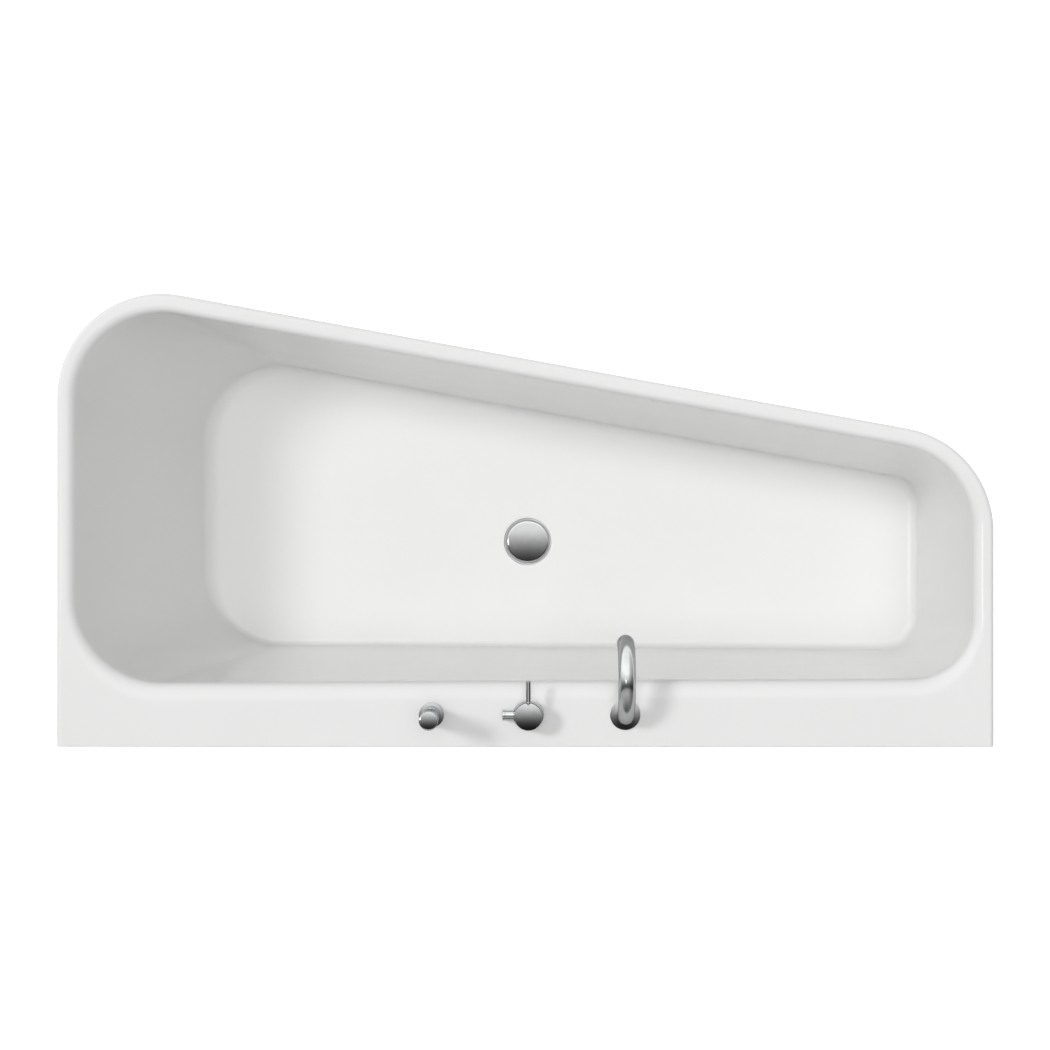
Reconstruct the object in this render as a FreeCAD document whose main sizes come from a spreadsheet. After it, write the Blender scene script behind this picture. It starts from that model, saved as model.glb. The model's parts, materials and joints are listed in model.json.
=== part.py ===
import FreeCAD, Part
import math
import os
import Sketcher
from FreeCAD import Vector

# Back-to-wall bathtub with a slanted free front, a sloping backrest at the wide end
# and a deck along the wall that carries a hand shower, a mixer and a spout.
# Millimetres. The origin is on the floor under the middle of the outline, +Z is up,
# the wall is at +Y, the wide end at +X and the slanted front at -Y.

# Driving sizes
SIZES = {
    # Outline seen from above
    "length": 1550,
    "width": 750,
    "corner_radius": 172.5,
    "narrow_corner_reach": 357,
    "wall_corner_radius": 3,
    "wall_trim": 14,
    # Rim and deck
    "rim_height": 575,
    "rim_plate": 8,
    "lip_depth": 40,
    "lip_wall": 6,
    "rim_front": 22,
    "rim_wide_end": 22,
    "rim_narrow_end": 32,
    "deck_wide": 104,
    "deck_narrow": 111,
    "rim_outer_round": 8,
    "rim_inner_round": 11,
    "opening_wide_front_round": 150,
    "opening_wide_wall_round": 145,
    "opening_narrow_wall_round": 104,
    "opening_narrow_front_round": 141,
    # Basin
    "floor_height": 140,
    "basin_wall": 6,
    "laminate": 3,
    "seam_reach": 3.8,
    "floor_front": 64.5,
    "floor_wide_end": 198,
    "floor_narrow_end": 62.5,
    "floor_wall_wide": 149,
    "floor_wall_narrow": 141,
    "floor_wide_round": 137,
    "floor_narrow_front_round": 47,
    "floor_narrow_wall_round": 60,
    "floor_fillet": 30,
    # Clearances
    "seat_gap": 0.3,
    "running_gap": 0.05,
    "thread_gap": 0.1,
    "overrun": 5,
    # Apron
    "apron_wall": 4,
    "apron_floor_gap": 10,
    "apron_tuck": 22,
    "apron_taper": 18,
    "apron_gap": 0.9,
    # Base board, rails and feet
    "board_thickness": 15,
    "board_inset": 2,
    "board_hole_radius": 54,
    "rail_inset": 395,
    "rail_width": 40,
    "rail_depth": 30,
    "rail_sheet": 3,
    "rail_end_gap": 25,
    "rail_screw_inset": 16,
    "rail_screw_radius": 2.5,
    "rail_screw_head_radius": 5,
    "rail_screw_head": 2.5,
    "rail_screw_bite": 10,
    "foot_inset": 52,
    "foot_rod_radius": 5,
    "foot_pad_radius": 26,
    "foot_pad_height": 14,
    "foot_pad_neck_radius": 11,
    "foot_pad_skirt": 5,
    "foot_socket_depth": 8,
    "foot_nut_width": 17,
    "foot_nut_height": 8,
    "foot_rod_top_gap": 1,
    # Apron brackets and wall brackets
    "bracket_width": 30,
    "bracket_sheet": 3,
    "bracket_lap": 34,
    "bracket_tab": 30,
    "wall_bracket_inset": 325,
    "wall_bracket_width": 60,
    "wall_bracket_drop": 105,
    "wall_bracket_hole_radius": 4.25,
    "wall_bracket_hole_pitch": 30,
    "wall_bracket_hole_drop": 65,
    # Waste and trap
    "waste_x": -4.5,
    "waste_y": 38,
    "recess_radius": 42.5,
    "recess_depth": 6,
    "waste_hole_radius": 26,
    "flange_radius": 40,
    "flange_thickness": 2.5,
    "flange_bore_radius": 22,
    "flange_sleeve_wall": 3,
    "flange_sleeve_length": 14,
    "hub_radius": 9,
    "hub_height": 8,
    "spoke_width": 3,
    "waste_seal": 1,
    "waste_body_radius": 40,
    "waste_cup_depth": 14,
    "waste_cup_wall": 3,
    "waste_neck_length": 16,
    "pipe_radius": 18,
    "pipe_wall": 2,
    "cap_radius": 38,
    "cap_edge": 2.2,
    "cap_rise": 7,
    "cap_stem_radius": 6,
    "cap_stem_length": 24,
    "trap_nut_radius": 25,
    "trap_nut_height": 14,
    "trap_bend_radius": 24,
    "trap_drop": 46,
    "trap_climb": 6,
    "trap_elbow_radius": 20,
    "trap_run": 40,
    "outlet_radius": 20,
    "outlet_grip": 18,
    "outlet_wall_gap": 80,
    "outlet_socket_radius": 21.5,
    "outlet_socket_length": 22,
    "outlet_nut_radius": 27,
    "outlet_nut_length": 16,
    # Deck fittings
    "fitting_setback": 53.5,
    "mixer_x": -5,
    "fitting_spacing": 160,
    "batten_thickness": 12,
    "batten_width": 74,
    "batten_overhang": 70,
    "tap_hole_gap": 1,
    "shank_reach": 50,
    "washer_thickness": 3,
    "washer_margin": 9,
    "clamp_nut_height": 10,
    "clamp_nut_margin": 7,
    "rosette_edge_round": 1.2,
    # Mixer
    "mixer_rosette_radius": 25.5,
    "mixer_rosette_height": 4,
    "mixer_radius": 23.5,
    "mixer_body_top": 34,
    "mixer_shank_radius": 16.5,
    "mixer_bore_radius": 14,
    "cartridge_base": 12,
    "cartridge_top": 8,
    "cartridge_bore_radius": 10,
    "ball_centre_height": 42.4,
    "ball_cap_radius": 22.4,
    "ball_cap_base": 34.6,
    "ball_cap_top": 50,
    "cap_top_round": 1.5,
    "spindle_disc_radius": 9.9,
    "spindle_disc_height": 5,
    "spindle_radius": 5,
    "spindle_top": 44.9,
    "pivot_radius": 2,
    "slot_swing": 11.2,
    "slot_back": 0.6,
    "slot_headroom": 1.6,
    "lever_radius": 4,
    "lever_tip_radius": 4.3,
    "lever_reach": 59,
    "lever_root": 15,
    "lever_rise": 8,
    "lever_edge_round": 0.6,
    "diverter_height": 14.2,
    "diverter_stem_radius": 4.8,
    "diverter_stem_inner": 6.5,
    "diverter_knob_radius": 8,
    "diverter_collar_radius": 8.5,
    "diverter_collar_length": 4,
    "diverter_length": 19,
    "diverter_standoff": 0.8,
    "tail_radius": 5,
    "tail_wall": 1,
    "tail_spread": 9,
    "tail_socket": 9,
    "hot_tail_length": 110,
    "cold_tail_length": 84,
    "tail_nut_radius": 9.5,
    "tail_nut_height": 14,
    "tail_thread_radius": 7.5,
    "tail_thread_depth": 10,
    "nipple_length": 26,
    "nipple_collar_radius": 7,
    # Spout
    "spout_rosette_radius": 25,
    "spout_rosette_height": 5,
    "spout_shank_radius": 10.5,
    "spout_shank_bore": 7,
    "spout_radius": 14,
    "spout_wall": 2,
    "spout_column": 24,
    "spout_outlet": 14,
    "spout_bend_radius": 59.5,
    "spout_bearing_length": 11,
    "ring_seal_section": 1,
    "aerator_length": 9,
    "aerator_bore": 8,
    "aerator_plate": 2,
    "feed_drop": 60,
    "feed_bend_radius": 25,
    # Hand shower
    "shower_rosette_radius": 20.75,
    "shower_rosette_height": 5,
    "guide_radius": 14,
    "guide_bore_radius": 12.5,
    "handle_radius": 15.5,
    "handle_top": 130,
    "handle_neck_radius": 12.2,
    "handle_neck_length": 24,
    "end_cap_radius": 13.6,
    "end_cap_depth": 5,
    "end_cap_groove": 0.8,
    "end_cap_rise": 1,
    "spray_width": 15,
    "spray_length": 64,
    "spray_drop": 6,
    "spray_depth": 5,
    "nozzle_radius": 1,
    "nozzle_height": 1,
    "nozzle_pitch": 7,
    "hose_cone_length": 18,
    "hose_cone_radius": 9,
}

HEX_HALF_SHARE = 0.5
HEX_SIDE_SHARE = math.sqrt(3) / 2
NOZZLE_ROWS = 9
SPOKES = 3
NEAR = 0.001

doc = FreeCAD.newDocument("bathtub")
sheet = doc.addObject("Spreadsheet::Sheet", "sizes")
for row, (alias, amount) in enumerate(SIZES.items(), 1):
    sheet.set(f"A{row}", alias)
    sheet.set(f"B{row}", str(amount))
    sheet.setAlias(f"B{row}", alias)
doc.recompute()

nodes = []


class Size:
    """A size of the sheet, or one worked out from such sizes: its expression and its value."""

    def __init__(self, text, value):
        self.text = text
        self.value = value

    def __add__(self, other):
        return joined(self, "+", other, self.value + number(other))

    def __radd__(self, other):
        return joined(other, "+", self, number(other) + self.value)

    def __sub__(self, other):
        return joined(self, "-", other, self.value - number(other))

    def __rsub__(self, other):
        return joined(other, "-", self, number(other) - self.value)

    def __mul__(self, other):
        return joined(self, "*", other, self.value * number(other))

    def __rmul__(self, other):
        return joined(other, "*", self, number(other) * self.value)

    def __truediv__(self, other):
        return joined(self, "/", other, self.value / number(other))


class Sheet:
    """Gives each size of the sheet by its name."""

    def __getattr__(self, alias):
        return Size(f"sizes.{alias}", float(SIZES[alias]))


def number(item):
    return item.value if isinstance(item, Size) else float(item)


def joined(first, sign, second, value):
    texts = [item.text if isinstance(item, Size) else repr(item) for item in (first, second)]
    return Size(f"({texts[0]} {sign} {texts[1]})", value)


def root(item):
    return Size(f"sqrt({item.text})", math.sqrt(item.value))


def lean_of(slope):
    """The angle in degrees whose tangent is given."""
    return Size(f"atan({slope.text})", math.degrees(math.atan(slope.value)))


def along(length, angle):
    """The part of a sloping length that runs level."""
    return Size(f"({length.text} * cos({angle.text}))", length.value * math.cos(math.radians(angle.value)))


def rise(length, angle):
    """The part of a sloping length that runs upwards."""
    return Size(f"({length.text} * sin({angle.text}))", length.value * math.sin(math.radians(angle.value)))


def bind(item, name, amount):
    """Tie a property to a size; a plain zero leaves it at its start."""
    if isinstance(amount, Size):
        item.setExpression(name, amount.text)


size = Sheet()


# Sketches

def plane_of(body, role):
    return next(item for item in body.Origin.OriginFeatures if item.Role == role)


def new_sketch(body, name, role="XY_Plane", lift=0):
    sketch = body.newObject("Sketcher::SketchObject", f"{body.Name}_{name}")
    sketch.AttachmentSupport = [(plane_of(body, role), "")]
    sketch.MapMode = "FlatFace"
    bind(sketch, "AttachmentOffset.Base.z", lift)
    return sketch


def hold(sketch, constraint, amount):
    index = sketch.addConstraint(constraint)
    sketch.setExpression(f"Constraints[{index}]", amount.text)


def pin(sketch, edge, end, x, y):
    """Hold one point of a sketch at its two sizes from the origin."""
    for kind, axis, amount in (("DistanceX", -2, x), ("DistanceY", -1, y)):
        value = number(amount)
        if abs(value) < NEAR:
            sketch.addConstraint(Sketcher.Constraint("PointOnObject", edge, end, axis))
        elif value > 0:
            hold(sketch, Sketcher.Constraint(kind, -1, 1, edge, end, value), amount)
        else:
            hold(sketch, Sketcher.Constraint(kind, edge, end, -1, 1, -value), 0 - amount)


def circle(sketch, x, y, radius):
    flat = Part.Circle(Vector(number(x), number(y), 0), Vector(0, 0, 1), radius.value)
    edge = sketch.addGeometry(flat)
    pin(sketch, edge, 3, x, y)
    hold(sketch, Sketcher.Constraint("Radius", edge, radius.value), radius)


def arc_between(start, end, radius, turn):
    """The arc under a half circle between two points, with turn 1 for anticlockwise and -1 for clockwise."""
    run = end - start
    middle = (start + end) * 0.5
    height = math.sqrt(max(radius * radius - run.Length ** 2 / 4, 0))
    side = Vector(-run.y, run.x, 0).normalize() * turn
    centre = middle + side * height
    first, last = (start, end) if turn > 0 else (end, start)
    low = math.atan2(first.y - centre.y, first.x - centre.x)
    high = math.atan2(last.y - centre.y, last.x - centre.x)
    if high < low:
        high += 2 * math.pi
    return Part.ArcOfCircle(Part.Circle(centre, Vector(0, 0, 1), radius), low, high)


def draw(sketch, steps, closed=True):
    """Lines and arcs through pinned points; a step (x, y, radius, turn) leaves its point on an arc."""
    points = [Vector(number(step[0]), number(step[1]), 0) for step in steps]
    count = len(steps) if closed else len(steps) - 1
    ends = []
    for index in range(count):
        start = points[index]
        end = points[(index + 1) % len(points)]
        step = steps[index]
        if len(step) == 2:
            edge = sketch.addGeometry(Part.LineSegment(start, end))
            ends.append((edge, 1, 2))
        else:
            edge = sketch.addGeometry(arc_between(start, end, step[2].value, step[3]))
            ends.append((edge, 1, 2) if step[3] > 0 else (edge, 2, 1))
            hold(sketch, Sketcher.Constraint("Radius", edge, step[2].value), step[2])
    for index, (edge, first, last) in enumerate(ends):
        pin(sketch, edge, first, steps[index][0], steps[index][1])
        if closed or index + 1 < count:
            after = ends[(index + 1) % count]
            sketch.addConstraint(Sketcher.Constraint("Coincident", edge, last, after[0], after[1]))
        else:
            pin(sketch, edge, last, steps[-1][0], steps[-1][1])


def rectangle(sketch, left, low, right, high):
    draw(sketch, [(left, low), (right, low), (right, high), (left, high)])


def hexagon(sketch, x, y, across):
    """A regular hexagon given by the distance between opposite flats."""
    reach = across / (2 * HEX_SIDE_SHARE)
    half = reach * HEX_HALF_SHARE
    side = reach * HEX_SIDE_SHARE
    draw(sketch, [
        (x + reach, y),
        (x + half, y + side),
        (x - half, y + side),
        (x - reach, y),
        (x - half, y - side),
        (x + half, y - side),
    ])


def rounded_outline(sketch, corners):
    """Four arcs, anticlockwise, joined by their common tangents; a corner gives its centre and radius."""
    centres = [Vector(number(x), number(y), 0) for x, y, _ in corners]
    radii = [corner[2].value for corner in corners]
    normals = []
    for index in range(len(corners)):
        after = (index + 1) % len(corners)
        run = centres[after] - centres[index]
        course = run / run.Length
        lean = (radii[index] - radii[after]) / run.Length
        normals.append(Vector(course.y, -course.x, 0) * math.sqrt(1 - lean * lean) + course * lean)
    edges = []
    for index in range(len(corners)):
        before = normals[index - 1]
        low = math.atan2(before.y, before.x)
        high = math.atan2(normals[index].y, normals[index].x)
        if high < low:
            high += 2 * math.pi
        ring = Part.Circle(centres[index], Vector(0, 0, 1), radii[index])
        edges.append(sketch.addGeometry(Part.ArcOfCircle(ring, low, high)))
        after = (index + 1) % len(corners)
        start = centres[index] + normals[index] * radii[index]
        end = centres[after] + normals[index] * radii[after]
        edges.append(sketch.addGeometry(Part.LineSegment(start, end)))
    for index, (x, y, radius) in enumerate(corners):
        arc = edges[2 * index]
        pin(sketch, arc, 3, x, y)
        hold(sketch, Sketcher.Constraint("Radius", arc, radius.value), radius)
    for index in range(len(edges)):
        after = edges[(index + 1) % len(edges)]
        sketch.addConstraint(Sketcher.Constraint("Tangent", edges[index], 2, after, 1))


# Bodies and features

def new_body(label, x=0, y=0, z=0):
    body = doc.addObject("PartDesign::Body", label)
    body.Label = label
    body.AllowCompound = True
    for axis, amount in (("x", x), ("y", y), ("z", z)):
        bind(body, f"Placement.Base.{axis}", amount)
    return body


def keep(item):
    """Count an object as one of the tub's pieces."""
    nodes.append(item)
    return item


def extrude(body, kind, name, sketch, length, reverse=False):
    """Pad or pocket a sketch; a pocket that cuts nothing is an error."""
    before = body.Tip.Shape.Volume if kind == "Pocket" else 0
    feature = body.newObject(f"PartDesign::{kind}", f"{body.Name}_{name}")
    feature.Profile = sketch
    feature.Reversed = reverse
    bind(feature, "Length", length)
    doc.recompute()
    if kind == "Pocket" and before - feature.Shape.Volume < NEAR:
        raise RuntimeError(f"{feature.Name} cuts nothing")
    return feature


def edge_names(shape, wanted):
    return [f"Edge{place}" for place, edge in enumerate(shape.Edges, 1) if wanted(edge)]


def level_at(height):
    """Whether an edge lies in the level plane at a height."""
    def test(edge):
        box = edge.BoundBox
        return abs(box.ZMin - height.value) < NEAR and abs(box.ZMax - height.value) < NEAR
    return test


def round_edges(body, name, wanted, radius):
    base = body.Tip
    names = edge_names(base.Shape, wanted)
    feature = body.newObject("PartDesign::Fillet", f"{body.Name}_{name}")
    feature.Base = (base, names)
    bind(feature, "Radius", radius)
    doc.recompute()
    return feature


def turned(label, place, steps):
    """A piece turned about its own upright axis, from half of its section."""
    body = new_body(label, *place)
    sketch = new_sketch(body, "section", "XZ_Plane")
    draw(sketch, steps)
    feature = body.newObject("PartDesign::Revolution", f"{label}_turn")
    feature.Profile = sketch
    feature.ReferenceAxis = (sketch, ["V_Axis"])
    doc.recompute()
    return body


def ring(label, place, inner, outer, low, high):
    return turned(label, place, [(inner, low), (outer, low), (outer, high), (inner, high)])


def hex_nut(label, place, across, bore, low, height):
    body = new_body(label, *place)
    sketch = new_sketch(body, "plan", lift=low)
    hexagon(sketch, 0, 0, across)
    circle(sketch, 0, 0, bore)
    extrude(body, "Pad", "block", sketch, height)
    return body


def pipe(label, place, plane, steps, radius, bore, start_lift):
    """A tube along a path of lines and arcs; the path starts upright at start_lift."""
    body = new_body(label, *place)
    path = new_sketch(body, "path", plane)
    draw(path, steps, closed=False)
    section = new_sketch(body, "section", lift=start_lift)
    circle(section, 0, 0, radius)
    circle(section, 0, 0, bore)
    doc.recompute()
    feature = body.newObject("PartDesign::AdditivePipe", f"{label}_sweep")
    feature.Profile = section
    feature.Spine = path
    doc.recompute()
    return body


# Outlines of the tub

half_length = size.length / 2
half_width = size.width / 2
wide_centre_x = half_length - size.corner_radius
wide_centre_y = size.corner_radius - half_width
narrow_centre_y = half_width - size.narrow_corner_reach
front_slope = (narrow_centre_y - wide_centre_y) / (2 * wide_centre_x)
front_stretch = root(front_slope * front_slope + 1)
floor_top = size.floor_height + 0
floor_under = floor_top - size.basin_wall
deck_under = size.rim_height - size.rim_plate
lip_bottom = size.rim_height - size.lip_depth


def front_y(x, inset):
    """Y of the line that runs a given distance inside the slanted front edge."""
    middle = (wide_centre_y + narrow_centre_y) / 2
    return middle - x * front_slope - (size.corner_radius - inset) * front_stretch


def front_corner(x, inset, radius, grow):
    """A corner whose arc touches the line inside the front edge."""
    return (x, front_y(x, inset) + radius * front_stretch, radius + grow)


def wall_corner(x, deck, radius, grow):
    """A corner whose arc touches the line that runs a given distance from the wall edge."""
    return (x, half_width - deck - radius, radius + grow)


def rim_corners(inset, rear_inset, small):
    """The outer outline moved inwards, by another size at its wall side, whose corners are small."""
    side = half_length - inset - small
    rear = half_width - rear_inset - small
    return [
        (wide_centre_x, wide_centre_y, size.corner_radius - inset),
        (side, rear, small),
        (0 - side, rear, small),
        (0 - wide_centre_x, narrow_centre_y, size.corner_radius - inset),
    ]


def opening_corners(grow=0):
    """The opening inside the rim."""
    wide_x = half_length - size.rim_wide_end
    narrow_x = size.rim_narrow_end - half_length
    first = size.opening_wide_front_round
    second = size.opening_wide_wall_round
    third = size.opening_narrow_wall_round
    fourth = size.opening_narrow_front_round
    return [
        front_corner(wide_x - first, size.rim_front, first, grow),
        wall_corner(wide_x - second, size.deck_wide, second, grow),
        wall_corner(narrow_x + third, size.deck_narrow, third, grow),
        front_corner(narrow_x + fourth, size.rim_front, fourth, grow),
    ]


def floor_corners(grow=0):
    """The edge of the basin's floor."""
    wide_x = half_length - size.floor_wide_end
    narrow_x = size.floor_narrow_end - half_length
    wide = size.floor_wide_round
    third = size.floor_narrow_wall_round
    fourth = size.floor_narrow_front_round
    return [
        front_corner(wide_x - wide, size.floor_front, wide, grow),
        wall_corner(wide_x - wide, size.floor_wall_wide, wide, grow),
        wall_corner(narrow_x + third, size.floor_wall_narrow, third, grow),
        front_corner(narrow_x + fourth, size.floor_front, fourth, grow),
    ]


def outline(body, name, lift, corners):
    sketch = new_sketch(body, name, lift=lift)
    rounded_outline(sketch, corners)
    return sketch


# Deck fittings share one line; each hole follows its own shank

fitting_y = half_width - size.fitting_setback
shower_x = size.mixer_x + size.fitting_spacing
spout_x = size.mixer_x - size.fitting_spacing
batten_left = spout_x - size.batten_overhang
batten_right = shower_x + size.batten_overhang
shower_place = (shower_x, fitting_y, size.rim_height)
mixer_place = (size.mixer_x, fitting_y, size.rim_height)
spout_place = (spout_x, fitting_y, size.rim_height)
tap_holes = [
    (shower_x, size.guide_radius + size.tap_hole_gap),
    (size.mixer_x, size.mixer_shank_radius + size.tap_hole_gap),
    (spout_x, size.spout_shank_radius + size.tap_hole_gap),
]
waste_place = (size.waste_x, size.waste_y, floor_top)


def ruled_block(name, low, high):
    """A solid between two level outlines, ruled edge by edge, so that each side has its own lean."""
    levels = []
    for sketch in (low, high):
        edges = [item.toShape() for item in sketch.Geometry]
        for edge in edges:
            edge.translate(sketch.AttachmentOffset.Base)
        levels.append(edges)
    walls = [Part.makeRuledSurface(lower, upper) for lower, upper in zip(*levels)]
    ends = [Part.Face(Part.Wire(edges)) for edges in levels]
    shell = Part.makeShell([face for wall in walls for face in wall.Faces] + ends)
    shell.sewShape()
    block = Part.makeSolid(shell)
    if block.Volume < 0:
        block.reverse()
    feature = doc.addObject("Part::Feature", name)
    feature.Shape = block
    return feature


def boolean(kind, name, base, tool):
    feature = doc.addObject(f"Part::{kind}", name)
    feature.Base = base
    feature.Tool = tool
    feature.Label = name
    doc.recompute()
    return feature


def tub_shell():
    lines = new_body("basin_lines")
    outer_top = outline(lines, "outer_top", size.rim_height, opening_corners(size.basin_wall))
    outer_base = outline(lines, "outer_base", floor_under, floor_corners(size.basin_wall))
    inner_top = outline(lines, "inner_top", size.rim_height, opening_corners())
    inner_base = outline(lines, "inner_base", floor_top, floor_corners())
    rim_body = new_body("rim_slab")
    beyond = 0 - size.wall_trim
    rim = outline(rim_body, "outline", lip_bottom, rim_corners(0, beyond, size.wall_trim))
    extrude(rim_body, "Pad", "plate", rim, size.lip_depth)
    round_edges(rim_body, "outer_edge", level_at(size.rim_height), size.rim_outer_round)
    inner = rim_corners(size.lip_wall, size.lip_wall, size.wall_corner_radius)
    hollow = outline(rim_body, "hollow_outline", deck_under, inner)
    extrude(rim_body, "Pocket", "hollow", hollow, size.lip_depth)
    trim = new_sketch(rim_body, "trim_plan", lift=size.rim_height)
    rectangle(trim, 0 - half_length, half_width, half_length, half_width + 2 * size.wall_trim)
    extrude(rim_body, "Pocket", "wall_trim", trim, 2 * size.lip_depth)
    skin = ruled_block("basin_skin", outer_base, outer_top)
    core = ruled_block("basin_core", inner_base, inner_top)
    at_floor = level_at(floor_top)
    core.Shape = core.Shape.makeFillet(size.floor_fillet.value, [e for e in core.Shape.Edges if at_floor(e)])
    blank = boolean("Cut", "shell_blank", boolean("Fuse", "shell_block", rim_body, skin), core)
    body = new_body("tub_shell")
    body.BaseFeature = blank
    doc.recompute()
    top = level_at(size.rim_height)

    def beside_opening(edge):
        middle = edge.valueAt((edge.FirstParameter + edge.LastParameter) / 2)
        inside = half_length.value - size.rim_front.value / 2
        on_front = middle.y < front_y(middle.x, size.rim_front / 2).value
        at_wall = middle.y > half_width.value - size.wall_corner_radius.value
        return top(edge) and abs(middle.x) < inside and not on_front and not at_wall

    round_edges(body, "inner_edge", beside_opening, size.rim_inner_round)
    boss = new_sketch(body, "boss_plan", lift=floor_under - size.recess_depth)
    circle(boss, size.waste_x, size.waste_y, size.recess_radius + size.basin_wall)
    extrude(body, "Pad", "waste_boss", boss, size.recess_depth + size.basin_wall / 2)
    recess = new_sketch(body, "recess_plan", lift=floor_top)
    circle(recess, size.waste_x, size.waste_y, size.recess_radius)
    extrude(body, "Pocket", "waste_recess", recess, size.recess_depth)
    hole = new_sketch(body, "waste_hole_plan", lift=floor_top)
    circle(hole, size.waste_x, size.waste_y, size.waste_hole_radius)
    extrude(body, "Pocket", "waste_hole", hole, size.recess_depth + size.basin_wall + size.overrun)
    taps = new_sketch(body, "tap_hole_plan", lift=size.rim_height)
    for x, radius in tap_holes:
        circle(taps, x, fitting_y, radius)
    extrude(body, "Pocket", "tap_holes", taps, size.rim_plate + size.overrun)
    return keep(body)


def tangent_ends(corners):
    """Ends of each corner's arc, at the end of the side before it and at the start of the side after it."""
    across = front_slope / front_stretch
    along_front = front_stretch / (front_stretch * front_stretch)
    normals = [
        ((0 - across, 0 - along_front), (1, 0)),
        ((1, 0), (0, 1)),
        ((0, 1), (-1, 0)),
        ((-1, 0), (0 - across, 0 - along_front)),
    ]
    return [
        [(x + radius * way[0], y + radius * way[1]) for way in pair]
        for (x, y, radius), pair in zip(corners, normals)
    ]


def laminate():
    """Glass-fibre laminate behind the shell, laid in patches that meet at seams beside the corners."""
    inner = size.basin_wall + size.seat_gap
    outer = inner + size.laminate
    clear = outer + size.seat_gap
    top = deck_under - size.seat_gap
    under = top - size.laminate
    lines = new_body("laminate_lines")
    cut_lines = {}
    for name, grow in (("inner", inner), ("outer", outer), ("clear", clear)):
        high = outline(lines, f"{name}_top", size.rim_height, opening_corners(grow))
        low = outline(lines, f"{name}_base", floor_under, floor_corners(grow))
        cut_lines[name] = (low, high)
    doc.recompute()
    blocks = {name: ruled_block(f"laminate_{name}", *pair) for name, pair in cut_lines.items()}
    seams = new_body("laminate_seams")
    plan = new_sketch(seams, "plan", lift=floor_under - size.overrun)
    reach = size.seam_reach
    top_ends = tangent_ends(opening_corners())
    floor_ends = tangent_ends(floor_corners())
    for corner in range(4):
        for end in range(2):
            (x, y), (low_x, low_y) = top_ends[corner][end], floor_ends[corner][end]
            far_x = x + (x - low_x) * reach
            far_y = y + (y - low_y) * reach
            aside, up = (size.seat_gap, 0) if corner == 2 and end == 1 else (0, size.seat_gap)
            draw(plan, [
                (low_x, low_y),
                (far_x, far_y),
                (far_x + aside, far_y + up),
                (low_x + aside, low_y + up),
            ])
    extrude(seams, "Pad", "cuts", plan, size.rim_height - floor_under + 2 * size.overrun)
    lid = new_body("laminate_lid")
    lid_plan = new_sketch(lid, "plan", lift=top)
    rectangle(lid_plan, 0 - half_length, 0 - half_width, half_length, half_width)
    extrude(lid, "Pad", "cover", lid_plan, size.rim_plate + size.overrun)
    wall = boolean("Cut", "basin_backing", blocks["outer"], blocks["inner"])
    wall = boolean("Cut", "basin_backing_low", wall, lid)
    keep(boolean("Cut", "basin_laminate", wall, seams))
    rim = new_body("rim_backing")
    rear = size.lip_wall + size.bracket_sheet + 2 * size.seat_gap
    plan = outline(rim, "plan", under, rim_corners(inner, rear, size.wall_corner_radius))
    extrude(rim, "Pad", "plate", plan, size.laminate)
    gap = new_sketch(rim, "batten_plan", lift=size.rim_height)
    rectangle(gap, batten_left - size.seat_gap, 0, batten_right + size.seat_gap, half_width)
    extrude(rim, "Pocket", "batten_gap", gap, size.lip_depth)
    plate = boolean("Cut", "rim_backing_open", rim, blocks["clear"])
    keep(boolean("Cut", "rim_laminate", plate, seams))


def apron():
    """Wrap-around panel under the lip on the three free sides, leaning in towards the floor."""
    height = lip_bottom + size.apron_tuck - size.apron_floor_gap
    rear = size.lip_wall + size.seat_gap
    foot_inset = size.lip_wall + size.apron_gap + size.apron_taper
    small = size.wall_trim
    lean = lean_of(size.apron_taper / height)
    body = new_body("apron")
    outside = rim_corners(foot_inset, 0 - small, small)
    panel = extrude(body, "Pad", "panel", outline(body, "outside", size.apron_floor_gap, outside), height)
    bind(panel, "TaperAngle", lean)
    inside = rim_corners(foot_inset + size.apron_wall, 0 - 2 * small, small)
    hollow_plan = outline(body, "inside", size.apron_floor_gap, inside)
    hollow = extrude(body, "Pocket", "hollow", hollow_plan, height, reverse=True)
    bind(hollow, "TaperAngle", lean)
    trim = new_sketch(body, "trim_plan", lift=size.rim_height)
    rectangle(trim, 0 - size.length, half_width - rear, size.length, size.width)
    extrude(body, "Pocket", "wall_trim", trim, size.rim_height)
    doc.recompute()
    return keep(body)


def base_board():
    """Board laminated under the floor, with a hole for the waste."""
    body = new_body("base_board")
    low = floor_under - size.board_thickness
    plan = outline(body, "plan", low, floor_corners(0 - size.board_inset))
    extrude(body, "Pad", "board", plan, size.board_thickness)
    hole = new_sketch(body, "hole_plan", lift=floor_under)
    circle(hole, size.waste_x, size.waste_y, size.board_hole_radius)
    extrude(body, "Pocket", "waste_hole", hole, size.board_thickness)
    return keep(body)


def deck_batten():
    """Batten glued under the deck around the tap holes."""
    body = new_body("deck_batten")
    plan = new_sketch(body, "plan", lift=deck_under - size.batten_thickness)
    half = size.batten_width / 2
    rectangle(plan, batten_left, fitting_y - half, batten_right, fitting_y + half)
    for x, radius in tap_holes:
        circle(plan, x, fitting_y, radius)
    extrude(body, "Pad", "batten", plan, size.batten_thickness)
    return keep(body)


rail_top = floor_under - size.board_thickness
rail_bottom = rail_top - size.rail_depth
web_under = rail_top - size.rail_sheet


def rail_span(x):
    """Front and rear end of the cross rail at x, inside the floor."""
    return (front_y(x, size.floor_front) + size.rail_end_gap,
            half_width - size.floor_wall_wide - size.rail_end_gap)


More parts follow.
